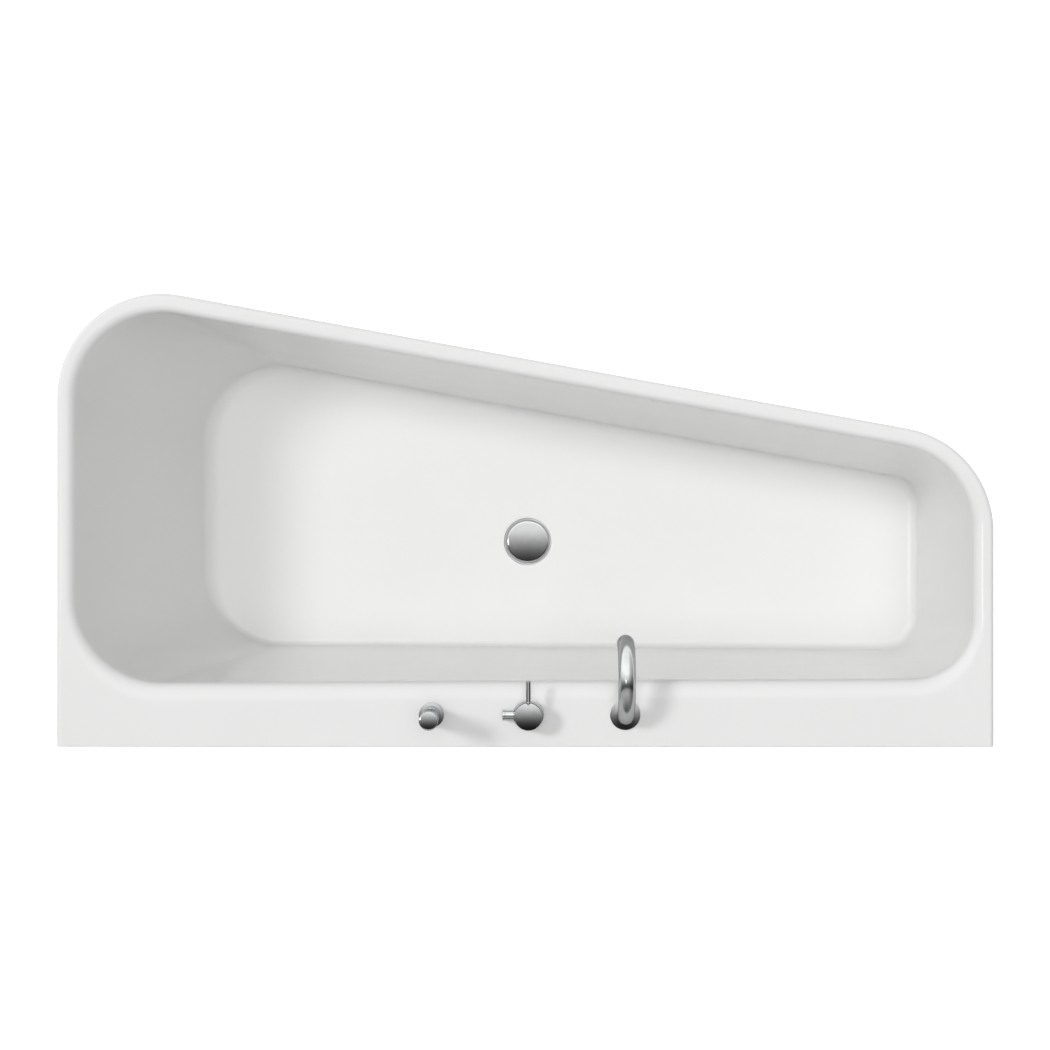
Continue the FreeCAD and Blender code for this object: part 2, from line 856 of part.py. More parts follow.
def cross_rail(label, x):
    """Channel open downwards under the base board."""
    front, rear = rail_span(x)
    half = size.rail_width / 2
    body = new_body(label, x)
    plan = new_sketch(body, "plan", lift=rail_bottom)
    rectangle(plan, 0 - half, front, half, rear)
    extrude(body, "Pad", "bar", plan, size.rail_depth)
    trough = new_sketch(body, "trough_plan", lift=web_under)
    side = half - size.rail_sheet
    rectangle(trough, 0 - side, front - size.overrun, side, rear + size.overrun)
    extrude(body, "Pocket", "trough", trough, size.rail_depth)
    holes = new_sketch(body, "hole_plan", lift=rail_top)
    for y in (front + size.foot_inset, rear - size.foot_inset):
        circle(holes, 0, y, size.foot_rod_radius + size.thread_gap)
    for y in rail_screw_rows(x):
        circle(holes, 0, y, size.rail_screw_radius + size.thread_gap)
    extrude(body, "Pocket", "holes", holes, size.rail_sheet + size.overrun)
    return keep(body)


def rail_screw_rows(x):
    front, rear = rail_span(x)
    return (front + size.rail_screw_inset, rear - size.rail_screw_inset)


def rail_screws():
    """Screws up through the rails into the board; the front ones also hold the apron brackets."""
    body = new_body("rail_screws")
    for place, (x, row) in enumerate([(x, row) for x in rail_places for row in (0, 1)]):
        y = rail_screw_rows(x)[row]
        under = web_under - size.bracket_sheet if row == 0 else web_under
        head = new_sketch(body, f"head_plan_{place}", lift=under - size.rail_screw_head)
        circle(head, x, y, size.rail_screw_head_radius)
        extrude(body, "Pad", f"head_{place}", head, size.rail_screw_head)
        shank = new_sketch(body, f"shank_plan_{place}", lift=under)
        circle(shank, x, y, size.rail_screw_radius)
        extrude(body, "Pad", f"shank_{place}", shank, rail_top - under + size.rail_screw_bite)
    return keep(body)


def board_with_pilots(board):
    """The base board's pilot holes for the rail screws."""
    pilots = new_sketch(board, "pilot_plan", lift=rail_top)
    for x in rail_places:
        for y in rail_screw_rows(x):
            circle(pilots, x, y, size.rail_screw_radius)
    extrude(board, "Pocket", "pilots", pilots, size.rail_screw_bite, reverse=True)


rail_places = (half_length - size.rail_inset, size.rail_inset - half_length)
foot_names = {
    "wide_front": (0, 0),
    "wide_wall": (0, 1),
    "narrow_front": (1, 0),
    "narrow_wall": (1, 1),
}


def foot_spot(rail, end):
    x = rail_places[rail]
    front, rear = rail_span(x)
    return (x, front + size.foot_inset if end == 0 else rear - size.foot_inset)


def feet():
    """Threaded rods hung in the rails, each on a pad."""
    neck_low = size.foot_pad_height - size.foot_socket_depth
    for name, (rail, end) in foot_names.items():
        spot = foot_spot(rail, end) + (0,)
        keep(turned(f"foot_pad_{name}", spot, [
            (0, 0),
            (size.foot_pad_radius, 0),
            (size.foot_pad_radius, size.foot_pad_skirt),
            (size.foot_pad_neck_radius, size.foot_pad_height),
            (size.foot_rod_radius, size.foot_pad_height),
            (size.foot_rod_radius, neck_low),
            (0, neck_low),
        ]))
        keep(turned(f"foot_rod_{name}", spot, [
            (0, neck_low),
            (size.foot_rod_radius, neck_low),
            (size.foot_rod_radius, rail_top - size.foot_rod_top_gap),
            (0, rail_top - size.foot_rod_top_gap),
        ]))


def foot_nuts():
    """One nut under the web of the rail and one lock nut on each pad."""
    body = new_body("foot_nuts")
    for level, lift in enumerate((web_under - size.foot_nut_height, size.foot_pad_height)):
        plan = new_sketch(body, f"plan_{level}", lift=lift)
        for rail, end in foot_names.values():
            x, y = foot_spot(rail, end)
            hexagon(plan, x, y, size.foot_nut_width)
            circle(plan, x, y, size.foot_rod_radius)
        extrude(body, "Pad", f"nuts_{level}", plan, size.foot_nut_height)
    return keep(body)


def apron_bracket(label, x):
    """Strap under the front end of a rail with a tab down the inside of the apron."""
    depth = size.apron_taper * (web_under / lip_bottom)
    inset = size.lip_wall + size.apron_gap + size.apron_taper - depth + size.apron_wall + size.bracket_tab * (
        size.apron_taper / lip_bottom) + size.seat_gap
    half = size.bracket_width / 2
    front, _ = rail_span(x)
    left = x - half
    right = x + half
    body = new_body(label)
    strap = new_sketch(body, "strap_plan", lift=web_under - size.bracket_sheet)
    rear = front + size.bracket_lap
    draw(strap, [
        (left, front_y(left, inset)),
        (right, front_y(right, inset)),
        (right, rear),
        (left, rear),
    ])
    circle(strap, x, front + size.rail_screw_inset, size.rail_screw_radius + size.thread_gap)
    extrude(body, "Pad", "strap", strap, size.bracket_sheet)
    tab = new_sketch(body, "tab_plan", lift=web_under - size.bracket_tab)
    draw(tab, [
        (left, front_y(left, inset)),
        (right, front_y(right, inset)),
        (right, front_y(right, inset + size.bracket_sheet)),
        (left, front_y(left, inset + size.bracket_sheet)),
    ])
    extrude(body, "Pad", "tab", tab, size.bracket_tab)
    return keep(body)


def wall_bracket(label, x):
    """Folded hook for the wall: the lip sits over its upstand, and two screws hold its plate."""
    hook_front = half_width - size.lip_wall - size.seat_gap - size.bracket_sheet
    hook_rear = hook_front + size.bracket_sheet
    plate_front = half_width - size.bracket_sheet
    step_top = lip_bottom - size.seat_gap
    step_under = step_top - size.bracket_sheet
    foot = step_top - size.wall_bracket_drop
    body = new_body(label, x)
    profile = new_sketch(body, "profile", "YZ_Plane", 0 - size.wall_bracket_width / 2)
    draw(profile, [
        (half_width, foot),
        (half_width, step_top),
        (hook_rear, step_top),
        (hook_rear, deck_under - size.seat_gap),
        (hook_front, deck_under - size.seat_gap),
        (hook_front, step_under),
        (plate_front, step_under),
        (plate_front, foot),
    ])
    extrude(body, "Pad", "hook", profile, size.wall_bracket_width)
    holes = new_sketch(body, "hole_plan", "XZ_Plane", 0 - half_width - size.overrun)
    for side in (-1, 1):
        spread = side * size.wall_bracket_hole_pitch / 2
        circle(holes, spread, step_top - size.wall_bracket_hole_drop, size.wall_bracket_hole_radius)
    extrude(body, "Pocket", "holes", holes, size.bracket_sheet + 2 * size.overrun, reverse=True)
    return keep(body)


# Waste and trap, in their own heights: zero is the top of the floor

recess_floor = 0 - size.recess_depth
boss_under = recess_floor - size.basin_wall
flange_low = recess_floor + size.waste_seal
flange_top = flange_low + size.flange_thickness
sleeve_end = flange_low - size.flange_sleeve_length
body_top = boss_under - size.waste_seal
cup_floor = body_top - size.waste_cup_depth
neck_end = cup_floor - size.waste_neck_length


def waste_flange():
    """Dished ring with a threaded sleeve and a spoked hub that guides the cap's stem."""
    body = turned("waste_flange", waste_place, [
        (size.flange_bore_radius, sleeve_end),
        (size.flange_bore_radius + size.flange_sleeve_wall, sleeve_end),
        (size.flange_bore_radius + size.flange_sleeve_wall, flange_low),
        (size.flange_radius, flange_low),
        (size.flange_radius, flange_top),
        (size.flange_bore_radius, flange_top),
    ])
    spoke_low = sleeve_end
    hub = new_sketch(body, "hub_plan", lift=spoke_low)
    circle(hub, 0, 0, size.hub_radius)
    circle(hub, 0, 0, size.cap_stem_radius + size.running_gap)
    extrude(body, "Pad", "hub", hub, size.hub_height)
    spoke = new_sketch(body, "spoke_plan", lift=spoke_low)
    half = size.spoke_width / 2
    inner = size.cap_stem_radius + size.running_gap + half / 2
    rectangle(spoke, inner, 0 - half, size.flange_bore_radius + half, half)
    arm = extrude(body, "Pad", "spoke", spoke, size.hub_height)
    spokes = body.newObject("PartDesign::PolarPattern", "waste_flange_spokes")
    spokes.Originals = [arm]
    spokes.Axis = (hub, ["N_Axis"])
    spokes.Angle = 360
    spokes.Occurrences = SPOKES
    body.Tip = spokes
    doc.recompute()
    return keep(body)


def waste():
    sleeve = size.flange_bore_radius + size.flange_sleeve_wall
    hole = size.waste_hole_radius
    keep(ring("waste_flange_seal", waste_place, hole, size.flange_radius, recess_floor, flange_low))
    keep(ring("waste_body_seal", waste_place, hole, size.waste_body_radius, body_top, boss_under))
    keep(turned("waste_body", waste_place, [
        (sleeve, body_top),
        (sleeve, sleeve_end),
        (sleeve - size.flange_sleeve_wall, sleeve_end - size.waste_cup_wall),
        (size.pipe_radius - size.pipe_wall, cup_floor + size.waste_cup_wall),
        (size.pipe_radius - size.pipe_wall, neck_end),
        (size.pipe_radius, neck_end),
        (size.pipe_radius, cup_floor),
        (sleeve + size.waste_cup_wall, body_top - size.waste_cup_wall),
        (size.waste_body_radius, body_top - size.waste_cup_wall),
        (size.waste_body_radius, body_top),
    ]))
    cap_low = flange_top + size.seat_gap
    cap_edge = cap_low + size.cap_edge
    dome_radius = (size.cap_radius * size.cap_radius + size.cap_rise * size.cap_rise) / (2 * size.cap_rise)
    keep(turned("waste_cap", waste_place, [
        (0, cap_low - size.cap_stem_length),
        (size.cap_stem_radius, cap_low - size.cap_stem_length),
        (size.cap_stem_radius, cap_low),
        (size.cap_radius, cap_low),
        (size.cap_radius, cap_edge, dome_radius, 1),
        (0, cap_edge + size.cap_rise),
    ]))


def trap():
    """Nut, shallow U bend with an elbow towards the wall, outlet nut and outlet pipe."""
    nut_low = neck_end - size.trap_nut_height / 2
    nut_high = nut_low + size.trap_nut_height
    nut_bore = size.pipe_radius + size.thread_gap
    keep(ring("trap_nut", waste_place, nut_bore, size.trap_nut_radius, nut_low, nut_high))
    top = neck_end - size.seat_gap
    low = top - size.trap_drop
    across = 2 * size.trap_bend_radius
    climb = low + size.trap_climb
    level = climb + size.trap_elbow_radius
    run_start = across + size.trap_elbow_radius
    run_end = run_start + size.trap_run
    keep(pipe("trap_bend", waste_place, "YZ_Plane", [
        (0, top),
        (0, low, size.trap_bend_radius, 1),
        (size.trap_bend_radius, low - size.trap_bend_radius, size.trap_bend_radius, 1),
        (across, low),
        (across, climb, size.trap_elbow_radius, -1),
        (run_start, level),
        (run_end, level),
    ], size.pipe_radius, size.pipe_radius - size.pipe_wall, top))
    start = run_end - size.outlet_grip
    socket_end = start + size.outlet_socket_length
    nut_end = start + size.outlet_nut_length
    socket = size.outlet_socket_radius
    pipe_end = half_width - size.outlet_wall_gap - size.waste_y
    outlet = new_body("outlet_pipe", *waste_place)
    nut = new_body("outlet_nut", *waste_place)
    inner = size.pipe_radius + size.thread_gap
    for body, name, hole, outer, low, high in (
        (outlet, "socket", inner, socket, start, socket_end),
        (outlet, "tube", inner, size.outlet_radius, socket_end, pipe_end),
        (nut, "ring", socket, size.outlet_nut_radius, start, nut_end),
    ):
        plan = new_sketch(body, f"{name}_plan", "XZ_Plane", 0 - high)
        circle(plan, 0, level, outer)
        circle(plan, 0, level, hole)
        extrude(body, "Pad", name, plan, high - low)
    keep(outlet)
    keep(nut)


# Deck fittings, in their own heights: zero is the top of the deck

batten_under = 0 - size.rim_plate - size.batten_thickness
shank_end = 0 - size.shank_reach


def clamp(name, place, shank, nut_radius_margin):
    """Washer and round nut that pull a fitting down onto the deck."""
    washer_low = batten_under - size.washer_thickness
    outer = shank + size.washer_margin
    keep(ring(f"{name}_washer", place, shank + size.thread_gap, outer, washer_low, batten_under))
    low = washer_low - size.clamp_nut_height
    nut = hex_nut(f"{name}_nut", place, 2 * (shank + nut_radius_margin), shank, low, size.clamp_nut_height)
    keep(nut)


def rosette(name, place, radius, height, bore):
    body = turned(f"{name}_rosette", place, [
        (bore, 0),
        (radius, 0),
        (radius, height - size.rosette_edge_round, size.rosette_edge_round, 1),
        (radius - size.rosette_edge_round, height),
        (bore, height),
    ])
    return keep(body)


def mixer():
    ball = size.ball_centre_height
    ball_radius = root(
        size.ball_cap_radius * size.ball_cap_radius
        + (ball - size.ball_cap_base) * (ball - size.ball_cap_base)
    )
    dish = ball_radius + size.seat_gap
    drop = ball - size.mixer_body_top
    dish_top = root(dish * dish - drop * drop)
    dish_low = ball - root(dish * dish - size.mixer_bore_radius * size.mixer_bore_radius)
    base = size.mixer_rosette_height
    bore_floor = 0 - size.cartridge_base
    rosette("mixer", mixer_place, size.mixer_rosette_radius, base, size.mixer_shank_radius + size.thread_gap)
    body = turned("mixer_body", mixer_place, [
        (0, shank_end),
        (size.mixer_shank_radius, shank_end),
        (size.mixer_shank_radius, base),
        (size.mixer_radius, base),
        (size.mixer_radius, size.mixer_body_top),
        (dish_top, size.mixer_body_top, dish, -1),
        (size.mixer_bore_radius, dish_low),
        (size.mixer_bore_radius, bore_floor),
        (0, bore_floor),
    ])
    ports = new_sketch(body, "port_plan", lift=shank_end)
    for x, y in port_places:
        circle(ports, x, y, size.tail_radius)
    extrude(body, "Pocket", "ports", ports, size.tail_socket, reverse=True)
    ways = new_sketch(body, "water_way_plan", lift=shank_end)
    for x, y in port_places:
        circle(ways, x, y, size.tail_radius - size.tail_wall)
    extrude(body, "Pocket", "water_ways", ways, size.shank_reach - size.cartridge_base, reverse=True)
    stem_hole = new_sketch(body, "stem_hole_plan", "YZ_Plane", size.mixer_radius + size.overrun)
    circle(stem_hole, 0, size.diverter_height, size.diverter_stem_radius + size.running_gap)
    extrude(body, "Pocket", "stem_hole", stem_hole, size.mixer_radius)
    keep(body)
    keep(turned("mixer_cartridge", mixer_place, [
        (0, bore_floor),
        (size.mixer_bore_radius - size.thread_gap, bore_floor),
        (size.mixer_bore_radius - size.thread_gap, size.cartridge_top),
        (size.cartridge_bore_radius, size.cartridge_top),
        (size.cartridge_bore_radius, 0),
        (0, 0),
    ]))
    keep(turned("mixer_spindle", mixer_place, [
        (0, size.seat_gap),
        (size.spindle_disc_radius, size.seat_gap),
        (size.spindle_disc_radius, size.spindle_disc_height),
        (size.spindle_radius, size.spindle_disc_height),
        (size.spindle_radius, size.spindle_top),
        (0, size.spindle_top),
    ]))
    spindle = doc.getObject("mixer_spindle")
    eye = new_sketch(spindle, "eye_plan", "YZ_Plane", 0 - size.mixer_radius)
    circle(eye, 0, ball, size.pivot_radius + size.running_gap)
    extrude(spindle, "Pocket", "eye", eye, 2 * size.mixer_radius, reverse=True)
    cap = turned("mixer_cap_blank", mixer_place, [
        (0, ball - ball_radius, ball_radius, 1),
        (size.ball_cap_radius, size.ball_cap_base),
        (size.ball_cap_radius, size.ball_cap_top - size.cap_top_round, size.cap_top_round, 1),
        (size.ball_cap_radius - size.cap_top_round, size.ball_cap_top),
        (0, size.ball_cap_top),
    ])
    half = size.spindle_radius + size.seat_gap
    slot = new_sketch(cap, "slot_plan", "YZ_Plane", half)
    back = half + size.slot_back
    slot_top = size.spindle_top + size.slot_headroom
    slot_low = ball - ball_radius - size.overrun
    draw(slot, [
        (0 - back, slot_low),
        (half + size.slot_swing, slot_low),
        (half, slot_top),
        (0 - back, slot_top),
    ])
    extrude(cap, "Pocket", "slot", slot, 2 * half)
    pin_hole = new_sketch(cap, "pin_hole_plan", "YZ_Plane", size.mixer_radius)
    circle(pin_hole, 0, ball, size.pivot_radius)
    extrude(cap, "Pocket", "pin_hole", pin_hole, 2 * size.mixer_radius)
    socket = doc.addObject("Part::Cylinder", "lever_socket")
    bind(socket, "Radius", size.lever_tip_radius)
    bind(socket, "Height", size.lever_reach)
    place_lever(socket)
    keep(boolean("Cut", "mixer_cap", cap, socket))
    pin_body = new_body("mixer_pivot_pin", *mixer_place)
    plan = new_sketch(pin_body, "plan", "YZ_Plane", size.cap_top_round - size.ball_cap_radius)
    circle(plan, 0, ball, size.pivot_radius)
    extrude(pin_body, "Pad", "pin", plan, 2 * (size.ball_cap_radius - size.cap_top_round))
    keep(pin_body)
    lever = doc.addObject("Part::Cone", "lever_blank")
    bind(lever, "Radius1", size.lever_radius)
    bind(lever, "Radius2", size.lever_tip_radius)
    bind(lever, "Height", size.lever_reach - size.lever_root)
    place_lever(lever)
    doc.recompute()
    rounded = doc.addObject("Part::Fillet", "mixer_lever")
    rounded.Base = lever
    rims = {edge.Length: place for place, edge in enumerate(lever.Shape.Edges, 1) if edge.isClosed()}
    rounded.Edges = [(rims[max(rims)], size.lever_edge_round.value, size.lever_edge_round.value)]
    rounded.Label = "mixer_lever"
    doc.recompute()
    keep(rounded)
    knob_start = size.mixer_radius + size.diverter_standoff
    knob_end = size.mixer_radius + size.diverter_length
    knob = new_body("diverter_knob", *mixer_place)
    for name, radius, start, end in (
        ("stem", size.diverter_stem_radius, size.diverter_stem_inner, knob_start),
        ("grip", size.diverter_knob_radius, knob_start, knob_end),
        ("collar", size.diverter_collar_radius, knob_end - size.diverter_collar_length, knob_end),
    ):
        plan = new_sketch(knob, f"{name}_plan", "YZ_Plane", start)
        circle(plan, 0, size.diverter_height, radius)
        extrude(knob, "Pad", name, plan, end - start)
    keep(knob)
    clamp("mixer", mixer_place, size.mixer_shank_radius, size.clamp_nut_margin)


def place_lever(item):
    """Point a part along the lever's axis, which rises from the cap towards the tub."""
    start = along(size.lever_root, size.lever_rise)
    lift = rise(size.lever_root, size.lever_rise)
    item.Placement = FreeCAD.Placement(Vector(0, 0, 0), FreeCAD.Rotation(Vector(1, 0, 0), 90))
    bind(item, "Placement.Base.x", size.mixer_x)
    bind(item, "Placement.Base.y", fitting_y - start)
    bind(item, "Placement.Base.z", size.rim_height + size.ball_centre_height + lift)
    bind(item, "Placement.Rotation.Angle", 90 - size.lever_rise)


port_places = (
    (0, size.tail_spread),
    (0, 0 - size.tail_spread),
    (size.tail_spread, 0),
    (0 - size.tail_spread, 0),
)


def tails():
    """Hot and cold inlet tails and the outlet nipple for the shower hose, in the shank's ports."""
    port_top = shank_end + size.tail_socket
    bore = size.tail_radius - size.tail_wall
    for label, spot, length, collar, mouth in (
        ("hot_tail", port_places[0], size.hot_tail_length, size.tail_nut_radius, size.tail_thread_radius),
        ("cold_tail", port_places[1], size.cold_tail_length, size.tail_nut_radius, size.tail_thread_radius),
        ("shower_nipple", port_places[2], size.nipple_length, size.nipple_collar_radius, size.tail_radius),
    ):
        end = shank_end - length
        nut_top = end + size.tail_nut_height
        mouth_end = end + size.tail_thread_depth
        place = (mixer_place[0] + spot[0], mixer_place[1] + spot[1], mixer_place[2])
        keep(turned(label, place, [
            (mouth, end),
            (collar, end),
            (collar, nut_top),
            (size.tail_radius, nut_top),
            (size.tail_radius, port_top),
            (bore, port_top),
            (bore, mouth_end),
            (mouth, mouth_end),
        ]))


def spout():
    shank = size.spout_shank_radius
    bearing = size.spout_radius - size.spout_wall - size.running_gap
    base = size.spout_rosette_height
    bearing_top = base + size.spout_bearing_length
    groove = bearing - 2 * size.ring_seal_section
    groove_low = base + size.spout_bearing_length / 2
    groove_high = groove_low + 2 * size.ring_seal_section
    feed_top = shank_end + size.tail_socket
    rosette("spout", spout_place, size.spout_rosette_radius, base, shank + size.thread_gap)
    keep(turned("spout_shank", spout_place, [
        (size.tail_radius, shank_end),
        (shank, shank_end),
        (shank, base),
        (bearing, base),
        (bearing, groove_low),
        (groove, groove_low),
        (groove, groove_high),
        (bearing, groove_high),
        (bearing, bearing_top),
        (size.spout_shank_bore, bearing_top),
        (size.spout_shank_bore, feed_top),
        (size.tail_radius, feed_top),
    ]))
    seal = doc.addObject("Part::Torus", "spout_ring_seal")
    seal.Label = "spout_ring_seal"
    bind(seal, "Radius1", groove + size.ring_seal_section)
    bind(seal, "Radius2", size.ring_seal_section)
    bind(seal, "Placement.Base.x", spout_x)
    bind(seal, "Placement.Base.y", fitting_y)
    bind(seal, "Placement.Base.z", size.rim_height + groove_low + size.ring_seal_section)
    keep(seal)
    low = base + size.seat_gap
    top = size.spout_column
    bend = size.spout_bend_radius
    keep(pipe("spout_tube", spout_place, "YZ_Plane", [
        (0, low),
        (0, top, bend, 1),
        (0 - bend, top + bend, bend, 1),
        (0 - 2 * bend, top),
        (0 - 2 * bend, size.spout_outlet),
    ], size.spout_radius, size.spout_radius - size.spout_wall, low))
    outlet = (spout_place[0], spout_place[1] - 2 * bend, spout_place[2] + size.spout_outlet)
    bore = size.spout_radius - size.spout_wall
    keep(turned("spout_aerator", outlet, [
        (size.aerator_bore, 0),
        (bore, 0),
        (bore, size.aerator_length),
        (0, size.aerator_length),
        (0, size.aerator_length - size.aerator_plate),
        (size.aerator_bore, size.aerator_length - size.aerator_plate),
    ]))
    clamp("spout", spout_place, shank, size.clamp_nut_margin)
    drop = shank_end - size.feed_drop
    turn = size.feed_bend_radius
    across = size.fitting_spacing - size.tail_spread
    feed_place = (mixer_place[0] - size.tail_spread, mixer_place[1], mixer_place[2])
    keep(pipe("spout_feed_pipe", feed_place, "XZ_Plane", [
        (0, feed_top),
        (0, drop + turn, turn, -1),
        (0 - turn, drop),
        (turn - across, drop, turn, -1),
        (0 - across, drop + turn),
        (0 - across, feed_top),
    ], size.tail_radius, size.tail_radius - size.tail_wall, feed_top))


def hand_shower():
    base = size.shower_rosette_height
    guide = size.guide_radius
    bore = size.guide_bore_radius
    rosette("shower", shower_place, size.shower_rosette_radius, base, guide + size.thread_gap)
    keep(ring("shower_guide", shower_place, bore, guide, shank_end, base))
    clamp("shower", shower_place, guide, size.clamp_nut_margin)
    seat = base + size.seat_gap
    neck_end = seat - size.handle_neck_length
    groove = size.end_cap_radius + size.end_cap_groove
    cap_floor = size.handle_top - size.end_cap_depth
    handle = turned("hand_shower", shower_place, [
        (0, neck_end),
        (size.handle_neck_radius, neck_end),
        (size.handle_neck_radius, seat),
        (size.handle_radius, seat),
        (size.handle_radius, size.handle_top),
        (groove, size.handle_top),
        (groove, cap_floor),
        (0, cap_floor),
    ])
    face_top = size.handle_top - size.end_cap_depth - size.spray_drop
    half = size.spray_width / 2
    recess = new_sketch(handle, "spray_plan", "XZ_Plane", size.handle_radius + size.overrun)
    rectangle(recess, 0 - half, face_top - size.spray_length, half, face_top)
    extrude(handle, "Pocket", "spray_recess", recess, size.overrun + size.spray_depth)
    keep(handle)
    keep(turned("shower_end_cap", shower_place, [
        (0, cap_floor),
        (size.end_cap_radius, cap_floor),
        (size.end_cap_radius, size.handle_top - size.end_cap_rise),
        (0, size.handle_top - size.end_cap_rise / 2),
    ]))
    face = new_body("spray_face", *shower_place)
    recess_y = size.handle_radius - size.spray_depth
    edge_y = root(size.handle_radius * size.handle_radius - half * half) - size.nozzle_height
    plate = new_sketch(face, "plate_plan", lift=face_top - size.spray_length + size.running_gap)
    inner = half - size.running_gap
    draw(plate, [
        (0 - inner, 0 - recess_y),
        (0 - inner, 0 - edge_y, size.handle_radius, 1),
        (inner, 0 - edge_y),
        (inner, 0 - recess_y),
    ])
    extrude(face, "Pad", "plate", plate, size.spray_length - 2 * size.running_gap)
    nozzle = new_sketch(face, "nozzle_plan", "XZ_Plane", recess_y)
    first = face_top - size.nozzle_pitch / 2
    for side in (-1, 1):
        circle(nozzle, side * size.nozzle_pitch / 2, first, size.nozzle_radius)
    nubs = extrude(face, "Pad", "nozzles", nozzle, size.spray_depth)
    rows = face.newObject("PartDesign::LinearPattern", "spray_face_rows")
    rows.Originals = [nubs]
    rows.Direction = (nozzle, ["V_Axis"])
    rows.Reversed = True
    bind(rows, "Length", size.nozzle_pitch * (NOZZLE_ROWS - 1))
    rows.Occurrences = NOZZLE_ROWS
    face.Tip = rows
    doc.recompute()
    keep(face)
    keep(turned("hose_connector", shower_place, [
        (0, neck_end - size.hose_cone_length),
        (size.hose_cone_radius, neck_end - size.hose_cone_length),
        (size.handle_neck_radius - size.seat_gap, neck_end),
        (0, neck_end),
    ]))


tub_shell()
laminate()
apron()
board_with_pilots(base_board())
deck_batten()
cross_rail("cross_rail_wide", rail_places[0])
cross_rail("cross_rail_narrow", rail_places[1])
rail_screws()
feet()
foot_nuts()
apron_bracket("apron_bracket_wide", rail_places[0])
apron_bracket("apron_bracket_narrow", rail_places[1])
wall_bracket("wall_bracket_wide", half_length - size.wall_bracket_inset)
wall_bracket("wall_bracket_narrow", size.wall_bracket_inset - half_length)
waste_flange()
waste()
trap()
mixer()
tails()
spout()
hand_shower()

doc.recompute()
os.makedirs("parts", exist_ok=True)
for item in doc.Objects:
    if "Invalid" in item.State or "Error" in item.State:
        raise RuntimeError(f"{item.Name} failed: {item.State}")
for item in nodes:
    if item.Shape.isNull() or not item.Shape.isValid():
        raise RuntimeError(f"{item.Label} has no valid shape")
for item in nodes:
    item.Shape.exportStep(f"parts/{item.Label}.step")
    print(f"{item.Label}: {len(item.Shape.Solids)} solids, {item.Shape.Volume:.0f} mm3")
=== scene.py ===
import json
import math

import bpy
import numpy as np
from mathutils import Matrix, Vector


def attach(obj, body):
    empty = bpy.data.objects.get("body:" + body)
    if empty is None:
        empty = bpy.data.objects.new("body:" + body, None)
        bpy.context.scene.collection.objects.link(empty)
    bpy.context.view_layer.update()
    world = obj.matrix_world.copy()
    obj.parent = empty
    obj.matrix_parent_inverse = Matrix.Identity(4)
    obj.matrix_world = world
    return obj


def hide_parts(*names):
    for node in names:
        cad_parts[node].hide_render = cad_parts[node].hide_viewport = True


# The looks of the bathtub. Lengths in the shape functions are millimetres in the row's
# frame, and put_piece turns them into metres. Heights of deck fittings count from the deck.

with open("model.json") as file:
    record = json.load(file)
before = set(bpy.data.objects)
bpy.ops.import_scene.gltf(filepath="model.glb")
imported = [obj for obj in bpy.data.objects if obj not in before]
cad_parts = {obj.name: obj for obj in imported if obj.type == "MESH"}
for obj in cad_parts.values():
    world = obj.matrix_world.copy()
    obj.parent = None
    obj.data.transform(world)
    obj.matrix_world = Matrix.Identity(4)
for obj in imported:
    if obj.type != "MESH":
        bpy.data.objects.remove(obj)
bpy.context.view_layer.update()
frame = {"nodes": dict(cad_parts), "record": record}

MM = 0.001
TURN = 2 * math.pi

HALF_LENGTH = 775.0
HALF_WIDTH = 375.0
RIM_HEIGHT = 575.0
LIP_BOTTOM = 535.0
DECK_UNDER = 567.0
FLOOR_TOP = 140.0
FLOOR_UNDER = 134.0
CORNER = 172.5
WIDE_CENTRE = (602.5, -202.5)
NARROW_CENTRE = (-602.5, 18.0)
WALL_CORNER = 3.0
FITTING_Y = 321.5
SHOWER_AT = (155.0, FITTING_Y, RIM_HEIGHT)
MIXER_AT = (-5.0, FITTING_Y, RIM_HEIGHT)
SPOUT_AT = (-165.0, FITTING_Y, RIM_HEIGHT)
WASTE_AT = (-4.5, 38.0, FLOOR_TOP)
BALL_HEIGHT = 42.4
KNOB_HEIGHT = 14.2
LEVER_RISE = 8

ARC_STEPS = 32
SIDE_STEPS = (16, 56, 12, 56)
SHARP_ANGLE = 38


# Meshes

def put_piece(name, points, faces, body, replaced, finish, parts=None):
    """Make a mesh from whole arrays of points in millimetres and of faces, and set it on its body."""
    mesh = bpy.data.meshes.new(name)
    mesh.vertices.add(len(points))
    mesh.vertices.foreach_set("co", (np.asarray(points, float) * MM).astype(np.float32).ravel())
    corners = np.concatenate([group.ravel() for group in faces])
    sizes = np.concatenate([np.full(len(group), group.shape[1]) for group in faces])
    mesh.loops.add(len(corners))
    mesh.loops.foreach_set("vertex_index", corners.astype(np.int32))
    mesh.polygons.add(len(sizes))
    starts = np.concatenate([[0], np.cumsum(sizes)[:-1]])
    mesh.polygons.foreach_set("loop_start", starts.astype(np.int32))
    mesh.update(calc_edges=True)
    mesh.validate()
    mesh.polygons.foreach_set("use_smooth", np.ones(len(sizes), bool))
    mesh.set_sharp_from_angle(angle=math.radians(SHARP_ANGLE))
    for material in finish if isinstance(finish, (list, tuple)) else [finish]:
        mesh.materials.append(material)
    if parts is not None:
        mesh.polygons.foreach_set("material_index", parts.astype(np.int32))
    piece = bpy.data.objects.new(name, mesh)
    bpy.context.scene.collection.objects.link(piece)
    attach(piece, body)
    if replaced:
        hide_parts(*replaced)


def grid_faces(rows, columns, closed_rows):
    """Quads of a grid whose columns close on themselves; the rows may close too."""
    row = np.arange(rows if closed_rows else rows - 1)[:, None]
    column = np.arange(columns)[None, :]
    below = row * columns
    above = (row + 1) % rows * columns
    after = (column + 1) % columns
    return np.stack([below + column, below + after, above + after, above + column], axis=-1).reshape(-1, 4)


